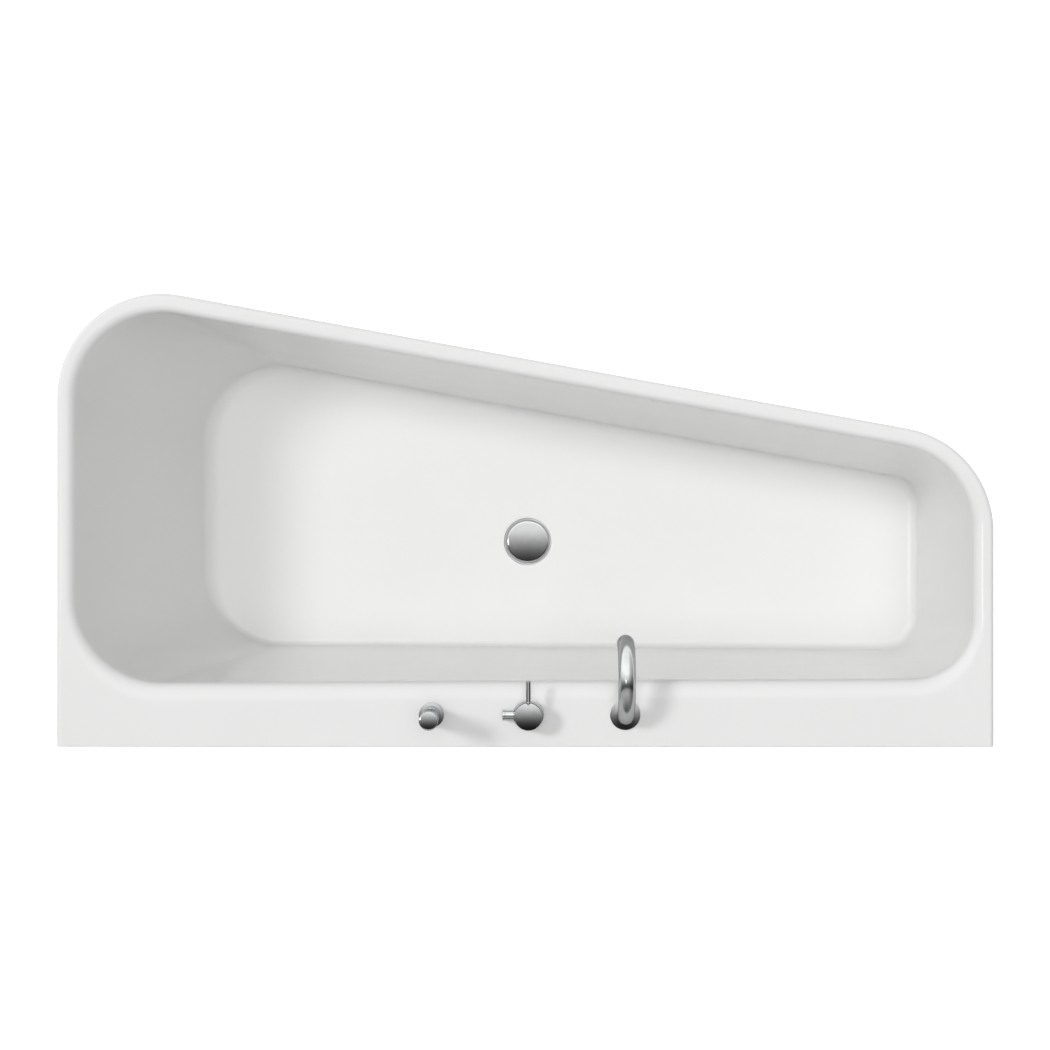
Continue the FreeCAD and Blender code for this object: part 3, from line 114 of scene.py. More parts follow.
def open_faces(rows, columns, first=0):
    """Quads of a grid that is open both ways."""
    row = np.arange(rows - 1)[:, None] * columns
    column = np.arange(columns - 1)[None, :]
    start = row + column
    quads = np.stack([start, start + 1, start + columns + 1, start + columns], axis=-1)
    return quads.reshape(-1, 4) + first


def pole_faces(ring_start, columns, pole, below):
    """Triangles from a ring to its pole; below tells that the pole is under the ring."""
    column = np.arange(columns)
    here = ring_start + column
    after = ring_start + (column + 1) % columns
    top = np.full(columns, pole)
    return np.stack([after, here, top] if below else [here, after, top], axis=-1)


def rounded_profile(corners, closed=False, steps=6):
    """A profile through corners (across, height, round). A corner with a round gives way to the arc
    that touches both its sides, and one point just before and after the arc keeps the sides flat."""
    table = np.array(corners, float)
    places = table[:, :2]
    line = []
    for index, (_, _, radius) in enumerate(table):
        here = places[index]
        ends = not closed and index in (0, len(table) - 1)
        if radius == 0 or ends:
            line.append(here[None])
            continue
        before = places[index - 1] - here
        after = places[(index + 1) % len(table)] - here
        reach_limit = 0.48 * min(np.linalg.norm(before), np.linalg.norm(after))
        before = before / np.linalg.norm(before)
        after = after / np.linalg.norm(after)
        half = 0.5 * math.acos(float(np.clip(before @ after, -1, 1)))
        reach = min(radius / math.tan(half), reach_limit)
        radius = reach * math.tan(half)
        middle = (before + after) / np.linalg.norm(before + after)
        centre = here + middle * radius / math.sin(half)
        start = here + before * reach - centre
        end = here + after * reach - centre
        angle = math.atan2(start[0] * end[1] - start[1] * end[0], start @ end)
        share = np.linspace(0, 1, steps + 1)[:, None] * angle
        arc = centre + np.cos(share) * start + np.sin(share) * np.array([-start[1], start[0]])
        flat = 0.15 * reach
        line.append((here + before * (reach + flat))[None])
        line.append(arc)
        line.append((here + after * (reach + flat))[None])
    return np.concatenate(line)


def turned_arrays(profile, columns, closed=False):
    """Points and faces of a profile turned about the upright axis: across times (cos, sin) of the angle.
    A first or last point on the axis becomes a pole, and a closed profile makes a ring."""
    profile = np.asarray(profile, float)
    low_pole = not closed and profile[0, 0] < 1e-6
    high_pole = not closed and profile[-1, 0] < 1e-6
    rings = profile[int(low_pole):len(profile) - int(high_pole)]
    angle = np.arange(columns) / columns * TURN
    points = np.stack([
        rings[:, :1] * np.cos(angle),
        rings[:, :1] * np.sin(angle),
        np.repeat(rings[:, 1:], columns, axis=1),
    ], axis=-1).reshape(-1, 3)
    faces = [grid_faces(len(rings), columns, closed)]
    if low_pole:
        points = np.vstack([points, [0, 0, profile[0, 1]]])
        faces.append(pole_faces(0, columns, len(points) - 1, True))
    if high_pole:
        points = np.vstack([points, [0, 0, profile[-1, 1]]])
        faces.append(pole_faces((len(rings) - 1) * columns, columns, len(points) - 1, False))
    return points, faces


def turned_piece(name, place, corners, body, replaced, finish, closed=False, columns=128):
    """A piece turned about an upright axis through its place, with its corners rounded."""
    points, faces = turned_arrays(rounded_profile(corners, closed), columns, closed)
    put_piece(name, points + np.array(place), faces, body, replaced, finish)


def thread(radius, low, high, pitch=1.6, depth=0.5):
    """Corners of a threaded stretch of a profile, going up: crests at the radius, roots a depth inside."""
    count = int((high - low) / pitch)
    heights = np.linspace(low, high, 2 * count + 1)
    across = np.where(np.arange(len(heights)) % 2 == 0, radius, radius - depth)
    return [(float(r), float(z), 0) for r, z in zip(across, heights)]


# Outlines of the tub, anticlockwise from the wide front corner

FRONT_SLOPE = (NARROW_CENTRE[1] - WIDE_CENTRE[1]) / (2 * WIDE_CENTRE[0])
FRONT_STRETCH = math.sqrt(1 + FRONT_SLOPE ** 2)
FRONT_MIDDLE = (WIDE_CENTRE[1] + NARROW_CENTRE[1]) / 2


def front_y(x, inset):
    """Y of the line that runs a given distance inside the slanted front edge."""
    return FRONT_MIDDLE - x * FRONT_SLOPE - (CORNER - inset) * FRONT_STRETCH


def rounded_outline(corners):
    """Four arcs joined by their common tangents, each arc and side with its own count of points.
    Gives the points and their outward normals."""
    centres = np.array([corner[:2] for corner in corners], float)
    radii = np.array([corner[2] for corner in corners], float)
    run = np.roll(centres, -1, axis=0) - centres
    length = np.linalg.norm(run, axis=1, keepdims=True)
    course = run / length
    lean = ((radii - np.roll(radii, -1)) / length[:, 0])[:, None]
    normals = np.stack([course[:, 1], -course[:, 0]], axis=1) * np.sqrt(1 - lean ** 2) + course * lean
    points = []
    outward = []
    for index in range(4):
        before = normals[index - 1]
        low = math.atan2(before[1], before[0])
        turn = (math.atan2(normals[index][1], normals[index][0]) - low) % TURN
        angle = low + turn * np.linspace(0, 1, ARC_STEPS, endpoint=False)
        way = np.stack([np.cos(angle), np.sin(angle)], axis=1)
        points.append(centres[index] + radii[index] * way)
        outward.append(way)
        after = (index + 1) % 4
        start = centres[index] + normals[index] * radii[index]
        end = centres[after] + normals[index] * radii[after]
        share = np.linspace(0, 1, SIDE_STEPS[index], endpoint=False)[:, None]
        points.append(start + (end - start) * share)
        outward.append(np.repeat(normals[index][None], SIDE_STEPS[index], axis=0))
    return np.concatenate(points), np.concatenate(outward)


def around(wide_end, wall, narrow_end, front):
    """A value for each point of an outline: one per side, blended smoothly along the corner arcs."""
    sides = (wide_end, wall, narrow_end, front)
    values = []
    for index in range(4):
        share = np.linspace(0, 1, ARC_STEPS, endpoint=False)
        share = share * share * (3 - 2 * share)
        values.append(sides[index - 1] + (sides[index] - sides[index - 1]) * share)
        values.append(np.full(SIDE_STEPS[index], float(sides[index])))
    return np.concatenate(values)


def rim_outline(inset, rear_inset):
    """The outer outline moved inwards, by another amount at its wall side."""
    side = HALF_LENGTH - inset - WALL_CORNER
    rear = HALF_WIDTH - rear_inset - WALL_CORNER
    return rounded_outline([
        (*WIDE_CENTRE, CORNER - inset),
        (side, rear, WALL_CORNER),
        (-side, rear, WALL_CORNER),
        (*NARROW_CENTRE, CORNER - inset),
    ])[0]


def inner_corners(wide_x, narrow_x, front_inset, wall_wide, wall_narrow, radii, grow):
    """Corners of an outline inside the rim, each touching the line of its own side."""
    first, second, third, fourth = radii
    return [
        (wide_x - first, front_y(wide_x - first, front_inset) + first * FRONT_STRETCH, first + grow),
        (wide_x - second, HALF_WIDTH - wall_wide - second, second + grow),
        (narrow_x + third, HALF_WIDTH - wall_narrow - third, third + grow),
        (narrow_x + fourth, front_y(narrow_x + fourth, front_inset) + fourth * FRONT_STRETCH, fourth + grow),
    ]


def opening_outline():
    """Where the rim's top and the basin's walls would meet if the edge had no rounding."""
    return rounded_outline(inner_corners(749, -743, 29, 104, 111, (146, 141, 104, 141), 0))


def back_outline():
    """The outside of the basin's walls at the height of the rim."""
    return rounded_outline(inner_corners(753, -743, 22, 104, 111, (150, 145, 104, 141), 6))[0]


def floor_outline(grow=0.0):
    """Where the basin's walls and floor would meet, or the same line grown for the outside."""
    return rounded_outline(inner_corners(577, -712.5, 64.5, 149, 141, (137, 137, 60, 47), grow))


# Tub shell

OUTER_ROUND = 8.0
REAR_SHARE = 0.2
WASTE_ROUND = 2.0
FLOOR_FALL = 2.0
WASTE_RING = 42.5
WASTE_STEPS = (
    (WASTE_RING, 134.8), (41.7, 134), (26.6, 134), (26, 133.4), (26, 128.6), (26.6, 128),
    (47, 128), (48.5, 129.5), (48.5, 133.4), (49.5, 134),
)


def level(outline, height):
    """An outline set at one height."""
    return np.column_stack([outline, np.full(len(outline), float(height))])


def corner_arc(start, corner, end, share, turn):
    """Arc from start to end that touches both lines to the corner: a quadratic curve whose middle weight
    is the cosine of half the turn, which is a circle where both lines are equally long."""
    weight = np.cos(turn / 2)[:, None]
    early = (1 - share) ** 2
    middle = 2 * weight * share * (1 - share)
    late = share ** 2
    return (early * start + middle * corner + late * end) / (early + middle + late)


def waste_circle(directions, radius, height):
    """The circle about the waste, with its points in given directions."""
    return level(np.array(WASTE_AT[:2]) + directions * radius, height)


def shell_loops():
    """Level loops with equal counts of points, from the lip up, over the rim, down the basin, through
    the waste hole and back up the outside of the basin to the lip."""
    loops = [level(rim_outline(1.2, 1.2), LIP_BOTTOM), level(rim_outline(0, 0), LIP_BOTTOM + 1.2)]
    loops.append(level(rim_outline(0, 0), RIM_HEIGHT - 2 * OUTER_ROUND))
    for angle in np.linspace(0, math.pi / 2, 11):
        inset = OUTER_ROUND * (1 - math.cos(angle))
        height = RIM_HEIGHT - OUTER_ROUND * (1 - math.sin(angle))
        loops.append(level(rim_outline(inset, REAR_SHARE * inset), height))
    rim_top = loops[-1]
    opening, outward = opening_outline()
    floor, floor_outward = floor_outline()
    top_corner = level(opening, RIM_HEIGHT)
    floor_corner = level(floor, FLOOR_TOP + FLOOR_FALL)
    wall = floor_corner - top_corner
    wall_length = np.linalg.norm(wall, axis=1, keepdims=True)
    down = wall / wall_length
    lean = np.arcsin(np.linalg.norm(down[:, :2], axis=1))
    turn = math.pi / 2 - lean
    rim_start = top_corner + level(outward, 0) * around(13, 30, 17, 10)[:, None]
    wall_start = top_corner + down * around(14, 20, 17, 13)[:, None]
    for share in (0.04, 0.25, 0.5, 0.75, 0.96):
        loops.append(rim_top + (rim_start - rim_top) * share)
    for share in np.linspace(0, 1, 15):
        loops.append(corner_arc(rim_start, top_corner, wall_start, share, turn))
    fillet = around(34, 17, 18, 18)
    reach = fillet[:, None] * np.tan(turn / 2)[:, None]
    wall_end = floor_corner - down * reach
    floor_start = floor_corner - level(floor_outward, 0) * reach
    for share in (0.04, 0.2, 0.36, 0.52, 0.68, 0.84, 0.96):
        loops.append(wall_start + (wall_end - wall_start) * share)
    for share in np.linspace(0, 1, 15):
        loops.append(corner_arc(wall_end, floor_corner, floor_start, share, turn))
    towards = floor_start[:, :2] - np.array(WASTE_AT[:2])
    directions = towards / np.linalg.norm(towards, axis=1, keepdims=True)
    ring = waste_circle(directions, WASTE_RING + WASTE_ROUND, FLOOR_TOP)
    for share in (0.03, 0.12, 0.25, 0.4, 0.55, 0.7, 0.82, 0.9, 0.95, 0.985):
        loop = floor_start + (ring - floor_start) * share
        loop[:, 2] = FLOOR_TOP + FLOOR_FALL * (1 - share) ** 2
        loops.append(loop)
    for angle in np.linspace(0, math.pi / 2, 6):
        radius = WASTE_RING + WASTE_ROUND * (1 - math.sin(angle))
        loops.append(waste_circle(directions, radius, FLOOR_TOP - WASTE_ROUND * (1 - math.cos(angle))))
    for radius, height in WASTE_STEPS:
        loops.append(waste_circle(directions, radius, height))
    outer_floor = level(floor_outline(6)[0], FLOOR_UNDER)
    outer_top = level(back_outline(), RIM_HEIGHT)
    outer_wall = outer_top - outer_floor
    inner_floor = loops[-1]
    for share in (0.3, 0.6, 0.85, 0.97):
        loops.append(inner_floor + (outer_floor - inner_floor) * share)
    shoulder = (DECK_UNDER - FLOOR_UNDER) / (RIM_HEIGHT - FLOOR_UNDER)
    for share in (0.02, 0.2, 0.5, 0.8, 0.98):
        loops.append(outer_floor + outer_wall * shoulder * share)
    under_deck = outer_floor + outer_wall * shoulder
    hollow = rim_outline(6, 6)
    for share in (0.06, 0.5, 0.95):
        loops.append(under_deck + (level(hollow, DECK_UNDER) - under_deck) * share)
    loops.append(level(hollow, DECK_UNDER - 2))
    loops.append(level(hollow, LIP_BOTTOM + 1.2))
    loops.append(level(rim_outline(5, 5), LIP_BOTTOM))
    return loops


def make_shell(acrylic):
    """One closed surface: quads between each level loop and the next, and from the last to the first."""
    loops = shell_loops()
    faces = [grid_faces(len(loops), len(loops[0]), True)]
    put_piece("bath_shell", np.concatenate(loops), faces, "tub", ["tub_shell"], acrylic)


# Apron

APRON_BOTTOM = 10.0
APRON_TOP = 557.0
APRON_WALL = 4.0
APRON_REAR = HALF_WIDTH - 6.3
APRON_INSET = 24.9
APRON_LEAN = 18.0


def apron_path(inset):
    """Open path round the narrow end, the front and the wide end, anticlockwise, from wall to wall."""
    radius = CORNER - inset
    tilt = math.atan(FRONT_SLOPE)
    side = HALF_LENGTH - inset
    upright = np.linspace(0, 1, 10, endpoint=False)[:, None]
    narrow_start = np.array([-side, APRON_REAR])
    narrow_end = np.array([-side, NARROW_CENTRE[1]])
    narrow_angle = math.pi + np.linspace(0, math.pi / 2 - tilt, 36)
    wide_angle = -math.pi / 2 - tilt + np.linspace(0, math.pi / 2 + tilt, 40)
    narrow_way = np.stack([np.cos(narrow_angle), np.sin(narrow_angle)], axis=1)
    narrow_arc = np.array(NARROW_CENTRE) + radius * narrow_way
    wide_way = np.stack([np.cos(wide_angle), np.sin(wide_angle)], axis=1)
    wide_arc = np.array(WIDE_CENTRE) + radius * wide_way
    middle = np.linspace(0, 1, 60)[1:-1, None]
    front = narrow_arc[-1] + (wide_arc[0] - narrow_arc[-1]) * middle
    wide_end = np.array([side, APRON_REAR])
    last = np.linspace(0, 1, 11)[1:, None]
    return np.concatenate([
        narrow_start + (narrow_end - narrow_start) * upright,
        narrow_arc,
        front,
        wide_arc,
        np.array([side, WIDE_CENTRE[1]]) + (wide_end - np.array([side, WIDE_CENTRE[1]])) * last,
    ])


def make_apron(acrylic, laminate):
    """A panel 4 mm thick that leans in 18 mm from the lip to the floor: its section goes up the outside,
    over the top, down the inside and back, with rounded edges."""
    section = rounded_profile([
        (0, APRON_BOTTOM, 1.5),
        (0, APRON_TOP, 1.0),
        (APRON_WALL, APRON_TOP, 1.0),
        (APRON_WALL, APRON_BOTTOM, 1.0),
    ], closed=True, steps=4)
    heights = np.linspace(APRON_BOTTOM + 30, APRON_TOP - 30, 6)
    outside = np.argmax(section[:, 1] > APRON_TOP - 20)
    section = np.insert(section, outside, np.stack([np.zeros(6), heights], axis=1), axis=0)
    rise = (section[:, 1] - APRON_BOTTOM) / (APRON_TOP - APRON_BOTTOM)
    depth = APRON_INSET - APRON_LEAN * rise + section[:, 0]
    paths = np.stack([apron_path(inset) for inset in depth])
    rows, columns = paths.shape[:2]
    points = np.concatenate([paths, np.repeat(section[:, None, 1:], columns, axis=1)], axis=2).reshape(-1, 3)
    row = np.arange(rows)[:, None]
    column = np.arange(columns - 1)[None, :]
    above = (row + 1) % rows
    walls = np.stack([
        row * columns + column,
        row * columns + column + 1,
        above * columns + column + 1,
        above * columns + column,
    ], axis=-1).reshape(-1, 4)
    ring = np.arange(rows) * columns
    caps = np.stack([ring[::-1], ring + columns - 1])
    inside = np.repeat((section[:, 0] > APRON_WALL - 0.01) & (section[:, 1] < APRON_TOP - 1), columns - 1)
    parts = np.concatenate([inside, [False, False]])
    put_piece(
        "apron_panel", points, [walls, caps], "tub", ["apron"], [acrylic, laminate], parts)


# Swept tubes

def swept_tube(name, place, centre, heading, stations, body, replaced, finish, columns=64):
    """A tube bent in the plane of Y and Z. Each ring is a circle square to the path's heading, with the
    radius of its station; the stations run along the outside and back along the bore."""
    angle = np.arange(columns) / columns * TURN
    radius = stations[:, None, None]
    side = np.stack([np.zeros(len(heading)), -heading[:, 1], heading[:, 0]], axis=1)
    across = np.array([1.0, 0, 0])
    ring = np.cos(angle)[None, :, None] * across + np.sin(angle)[None, :, None] * side[:, None, :]
    middle = np.column_stack([np.zeros(len(centre)), centre])
    points = (middle[:, None, :] + radius * ring).reshape(-1, 3) + np.array(place)
    put_piece(name, points, [grid_faces(len(centre), columns, True)], body, replaced, finish)


def spout_path(along, low, column, bend):
    """Place and heading at given lengths along the spout: straight up, a half circle towards the tub and
    straight down to the outlet."""
    first = column - low
    arc = math.pi * bend
    up = np.clip(along, None, first)
    swing = np.clip(along - first, 0, arc) / bend
    fall = np.clip(along - first - arc, 0, None)
    y = -bend * (1 - np.cos(swing))
    z = low + up + bend * np.sin(swing) - fall
    heading = np.stack([-np.sin(swing), np.cos(swing)], axis=1)
    return np.stack([y, z], axis=1), heading


def make_spout(chrome):
    """A tube of 28 mm bent to a half circle; its wall is a closed section of radius over length, with
    rounded lips at both ends."""
    low, column, bend, outlet = 5.3, 24.0, 59.5, 14.0
    radius, bore = 14.0, 12.0
    total = (column - low) + math.pi * bend + (column - outlet)
    lip = rounded_profile([
        (0, radius, 0.5),
        (total, radius, 0.7),
        (total, bore, 0.5),
        (0, bore, 0.3),
    ], closed=True, steps=4)
    out = np.linspace(6, total - 6, 110)
    back = np.linspace(total - 6, 6, 60)
    middle = np.argmax(lip[:, 0] > total / 2)
    low_bore = np.argmax((lip[:, 0] < total / 2) & (np.arange(len(lip)) > middle))
    outside = np.column_stack([out, np.full(len(out), radius)])
    inside = np.column_stack([back, np.full(len(back), bore)])
    stations = np.concatenate([lip[:middle], outside, lip[middle:low_bore], inside, lip[low_bore:]])
    centre, heading = spout_path(stations[:, 0], low, column, bend)
    swept_tube(
        "spout_arch", SPOUT_AT, centre, heading, stations[:, 1], "spout", ["spout_tube"], chrome)


# Deck fittings

ROSETTE_SLOPE = 0.09
STICK_RADIUS = 15.5
MIXER_RADIUS = 22.4


def make_rosettes(chrome):
    """Thin rings that rise gently from their edge to their bore."""
    for name, place, radius, height, bore, node in (
        ("shower_collar", SHOWER_AT, 20.75, 5.0, 14.1, "shower_rosette"),
        ("mixer_collar", MIXER_AT, 25.5, 4.0, 16.6, "mixer_rosette"),
        ("spout_collar", SPOUT_AT, 25.0, 5.0, 10.6, "spout_rosette"),
    ):
        edge = height - ROSETTE_SLOPE * (radius - bore)
        turned_piece(name, place, [
            (bore, 0.05, 0),
            (radius - 0.3, 0.05, 0),
            (radius, 0.4, 0.2),
            (radius, edge, 0.5),
            (bore, height, 0.2),
        ], "tub", [node], chrome, closed=True)


def make_mixer(chrome):
    """A column whose top is a dish round the ball's centre; a cap whose underside is that ball and whose
    crown falls with the square of its radius; a pin lever and a side knob turned about their own axes."""
    ball = BALL_HEIGHT
    ball_radius = math.hypot(MIXER_RADIUS, ball - 34.6)
    dish = ball_radius + 0.3
    dish_angle = np.linspace(math.acos((ball - 34.0) / dish), math.asin(14.0 / dish), 14)
    dish_line = [(dish * math.sin(a), ball - dish * math.cos(a), 0) for a in dish_angle]
    turned_piece("mixer_column", MIXER_AT, [
        (0, -50, 0),
        *thread(16.5, -50, -14),
        (16.5, 4, 0.3),
        (23.5, 4, 0.5),
        (23.5, 34, 0.5),
        *dish_line,
        (14, -12, 0),
        (0, -12, 0),
    ], "tub", ["mixer_body"], chrome)
    low_angle = np.linspace(0.05, math.asin(MIXER_RADIUS / ball_radius), 16)
    bowl = [(ball_radius * math.sin(a), ball - ball_radius * math.cos(a), 0) for a in low_angle]
    crown = [(22.0 * s, 50 - 1.3 * s * s, 0) for s in np.linspace(0.98, 0.06, 14)]
    turned_piece("mixer_crown", MIXER_AT, [
        (0, ball - ball_radius, 0),
        *bowl,
        (MIXER_RADIUS, 48.65, 0.3),
        *crown,
        (0, 50, 0),
    ], "mixer_handle", ["mixer_cap"], chrome)
    tilt = math.radians(LEVER_RISE)
    axis = np.array([0, -math.cos(tilt), math.sin(tilt)])
    side = np.array([1.0, 0, 0])
    upper = np.cross(axis, side)
    points, faces = turned_arrays(rounded_profile([
        (0, 15, 0),
        (4.0, 15, 0),
        (4.0, 22.2, 0),
        (5.2, 22.6, 0.4),
        (5.2, 24.4, 0.4),
        (4.05, 24.8, 0.2),
        (4.3, 59, 0.6),
        (0, 59, 0),
    ]), 64)
    pin = points[:, :1] * upper + points[:, 1:2] * -side + points[:, 2:] * axis
    place = np.array(MIXER_AT) + np.array([0, 0, ball])
    put_piece("mixer_pin_lever", pin + place, faces, "mixer_handle", ["mixer_lever"], chrome)
    points, faces = turned_arrays(rounded_profile([
        (0, 6.5, 0),
        (4.8, 6.5, 0.4),
        (4.8, 24.3, 0),
        (8.0, 24.3, 0.4),
        (8.0, 38.0, 0.3),
        (8.5, 38.6, 0.4),
        (8.5, 42.5, 0.7),
        (0, 42.5, 0),
    ]), 80)
    knob = np.stack([points[:, 2], points[:, 0], points[:, 1]], axis=1)
    place = np.array(MIXER_AT) + np.array([0, 0, KNOB_HEIGHT])
    put_piece("diverter_pull", knob + place, faces, "diverter", ["diverter_knob"], chrome)


def make_hand_shower(chrome, plastic):
    """The handle is a cylinder whose radius drops by 5 mm inside a rounded window on its front for the
    spray face; the spray face is the same cylinder wall with two columns of nozzle domes."""
    columns = 160
    angle = np.arange(columns) / columns * TURN
    window = -math.pi / 2
    low, high, half = 55.0, 119.0, 7.5
    base = rounded_profile([
        (12.2, -18.7, 0.3),
        (12.2, 5.3, 0.2),
        (STICK_RADIUS, 5.3, 0.5),
        (STICK_RADIUS, 130, 0.35),
        (15.0, 130, 0.1),
        (15.0, 125, 0),
    ], steps=4)
    body = np.column_stack([np.full(80, STICK_RADIUS), np.linspace(low - 4, high + 4, 80)])
    spot = np.argmax(base[:, 1] > 100)
    rings = np.concatenate([base[:spot], body, base[spot:]])
    turn_from = (angle - window + math.pi) % TURN - math.pi
    across = STICK_RADIUS * np.sin(np.clip(turn_from, -math.pi / 2, math.pi / 2))
    across = np.where(np.abs(turn_from) > math.pi / 2, 99.0, across)
    gap_x = np.abs(across)[None, :] - (half - 2)
    gap_z = np.abs(rings[:, 1] - (low + high) / 2)[:, None] - ((high - low) / 2 - 2)
    distance = np.hypot(np.maximum(gap_x, 0), np.maximum(gap_z, 0)) - 2
    sunk = np.clip(0.5 - distance / 0.9, 0, 1)
    sunk = sunk * sunk * (3 - 2 * sunk)
    on_wall = (rings[:, 0] > STICK_RADIUS - 0.1)[:, None]
    radius = rings[:, :1] - 4.4 * sunk * on_wall
    heights = np.repeat(rings[:, 1:], columns, axis=1)
    points = np.stack([radius * np.cos(angle), radius * np.sin(angle), heights], axis=-1).reshape(-1, 3)
    count = len(points)
    points = np.vstack([points, [0, 0, -18.7], [0, 0, 125]])
    faces = [
        grid_faces(len(rings), columns, False),
        pole_faces(0, columns, count, True),
        pole_faces((len(rings) - 1) * columns, columns, count + 1, False),
    ]
    points = points + np.array(SHOWER_AT)
    put_piece("shower_stick", points, faces, "shower_handle", ["hand_shower"], chrome)
    turned_piece("shower_button", SHOWER_AT, [
        (0, 125, 0),
        (14.8, 125, 0),
        (14.8, 129.1, 0.2),
        *[(14.5 * s, 130 - 0.8 * s * s, 0) for s in np.linspace(0.98, 0.08, 12)],
        (0, 130, 0),
    ], "shower_handle", ["shower_end_cap"], chrome, columns=112)
    across = np.linspace(-7.2, 7.2, 97)
    heights = np.linspace(low + 0.3, high - 0.3, 417)
    wide, tall = np.meshgrid(across, heights)
    wall = np.sqrt(14.7 ** 2 - wide ** 2)
    columns_at = np.abs(np.abs(wide) - 3.5)
    pitch = 7.0
    rows_at = np.abs((tall - low - 4 + pitch / 2) % pitch - pitch / 2)
    distance = np.hypot(columns_at, rows_at)
    wall = wall + 0.75 * np.clip(1.25 - distance, 0, 0.35) / 0.35 - 0.3 * (distance < 0.4)
    edge = np.minimum(7.2 - np.abs(wide), np.minimum(tall - heights[0], heights[-1] - tall))
    wall = wall - 0.5 * np.clip(1 - edge / 0.6, 0, 1) ** 2
    front = np.stack([wide, -wall, tall], axis=-1).reshape(-1, 3)
    rear = np.stack([wide, np.full_like(wide, -10.6), tall], axis=-1).reshape(-1, 3)
    rows, cols = wide.shape
    first = rows * cols
    rim = np.concatenate([
        np.arange(cols),
        np.arange(1, rows) * cols + cols - 1,
        (rows - 1) * cols + np.arange(cols - 2, -1, -1),
        np.arange(rows - 2, 0, -1) * cols,
    ])
    after = np.roll(rim, -1)
    skirt = np.stack([after, rim, rim + first, after + first], axis=-1)
    faces = [open_faces(rows, cols), open_faces(rows, cols, first)[:, ::-1], skirt]
    points = np.concatenate([front, rear]) + np.array(SHOWER_AT)
    put_piece("shower_spray_face", points, faces, "shower_handle", ["spray_face"], plastic)


def make_waste(chrome):
    """A push cap whose dome falls with the square of its radius, on a short stem."""
    dome_low, top, rise = -2.2, 4.4, 2.0
    turned_piece("waste_dome", WASTE_AT, [
        (0, dome_low - 24, 0),
        (6, dome_low - 24, 0.6),
        (6, dome_low, 0.4),
        (38, dome_low, 0.4),
        (38, top - rise - 0.4, 1.2),
        *[(37 * s, top - rise * s * s, 0) for s in np.linspace(0.98, 0.05, 20)],
        (0, top, 0),
    ], "waste_push_cap", ["waste_cap"], chrome)


# Finishes

def new_finish(name):
    """An empty material with one principled shader."""
    material = bpy.data.materials.new(name)
    material.use_nodes = True
    nodes = material.node_tree.nodes
    nodes.clear()
    output = nodes.new("ShaderNodeOutputMaterial")
    shader = nodes.new("ShaderNodeBsdfPrincipled")
    material.node_tree.links.new(shader.outputs["BSDF"], output.inputs["Surface"])
    return material, shader


def noise(material, scale, detail=3.0, roughness=0.5, stretch=(1, 1, 1)):
    """Noise over the object's own coordinates; scale counts its waves per metre."""
    nodes, links = material.node_tree.nodes, material.node_tree.links
    place = nodes.new("ShaderNodeTexCoord")
    mapping = nodes.new("ShaderNodeMapping")
    mapping.inputs["Scale"].default_value = stretch
    texture = nodes.new("ShaderNodeTexNoise")
    texture.inputs["Scale"].default_value = scale
    texture.inputs["Detail"].default_value = detail
    texture.inputs["Roughness"].default_value = roughness
    links.new(place.outputs["Object"], mapping.inputs["Vector"])
    links.new(mapping.outputs["Vector"], texture.inputs["Vector"])
    return texture.outputs["Fac"]


def between(material, factor, low, high):
    """A number from low to high as the factor goes from 0.3 to 0.7, the usual reach of noise."""
    node = material.node_tree.nodes.new("ShaderNodeMapRange")
    node.inputs["From Min"].default_value = 0.3
    node.inputs["From Max"].default_value = 0.7
    node.inputs["To Min"].default_value = low
    node.inputs["To Max"].default_value = high
    material.node_tree.links.new(factor, node.inputs["Value"])
    return node.outputs["Result"]


def shades(material, factor, first, second):
    """A colour between two shades by the factor."""
    node = material.node_tree.nodes.new("ShaderNodeMix")
    node.data_type = "RGBA"
    node.inputs["A"].default_value = (*first, 1)
    node.inputs["B"].default_value = (*second, 1)
    material.node_tree.links.new(between(material, factor, 0, 1), node.inputs["Factor"])
    return node.outputs["Result"]


def bump(material, height, strength, distance, before=None):
    """Normals bent by a height, over those of an earlier bump where one is given."""
    node = material.node_tree.nodes.new("ShaderNodeBump")
    node.inputs["Strength"].default_value = strength
    node.inputs["Distance"].default_value = distance
    material.node_tree.links.new(height, node.inputs["Height"])
    if before is not None:
        material.node_tree.links.new(before, node.inputs["Normal"])
    return node.outputs["Normal"]


def sanitary_acrylic():
    """Cast acrylic: a hard white gloss with a faint long wave of the moulding and a fine haze of wear."""
    material, shader = new_finish("sanitary_acrylic")
    links = material.node_tree.links
    tone = noise(material, 3.0, 2.0)
    links.new(shades(material, tone, (0.812, 0.812, 0.807), (0.832, 0.831, 0.827)), shader.inputs["Base Color"])
    haze = noise(material, 160.0, 4.0, 0.6)
    links.new(between(material, haze, 0.05, 0.1), shader.inputs["Roughness"])
    shader.inputs["IOR"].default_value = 1.52
    wave = bump(material, noise(material, 9.0, 1.0), 0.10, 0.004)
    links.new(bump(material, noise(material, 900.0, 2.0), 0.05, 0.0002, wave), shader.inputs["Normal"])
    return material


def glass_laminate():
    """Sprayed glass fibre and resin on the back of the acrylic: dull off-white with coarse strands."""
    material, shader = new_finish("glass_laminate")
    links = material.node_tree.links
    strands = noise(material, 140.0, 6.0, 0.7, (1, 0.3, 1))
    links.new(shades(material, strands, (0.60, 0.58, 0.50), (0.76, 0.74, 0.67)), shader.inputs["Base Color"])
    links.new(between(material, noise(material, 60.0), 0.5, 0.8), shader.inputs["Roughness"])
    coarse = bump(material, noise(material, 45.0, 4.0), 0.5, 0.002)
    links.new(bump(material, strands, 0.6, 0.0008, coarse), shader.inputs["Normal"])
    return material


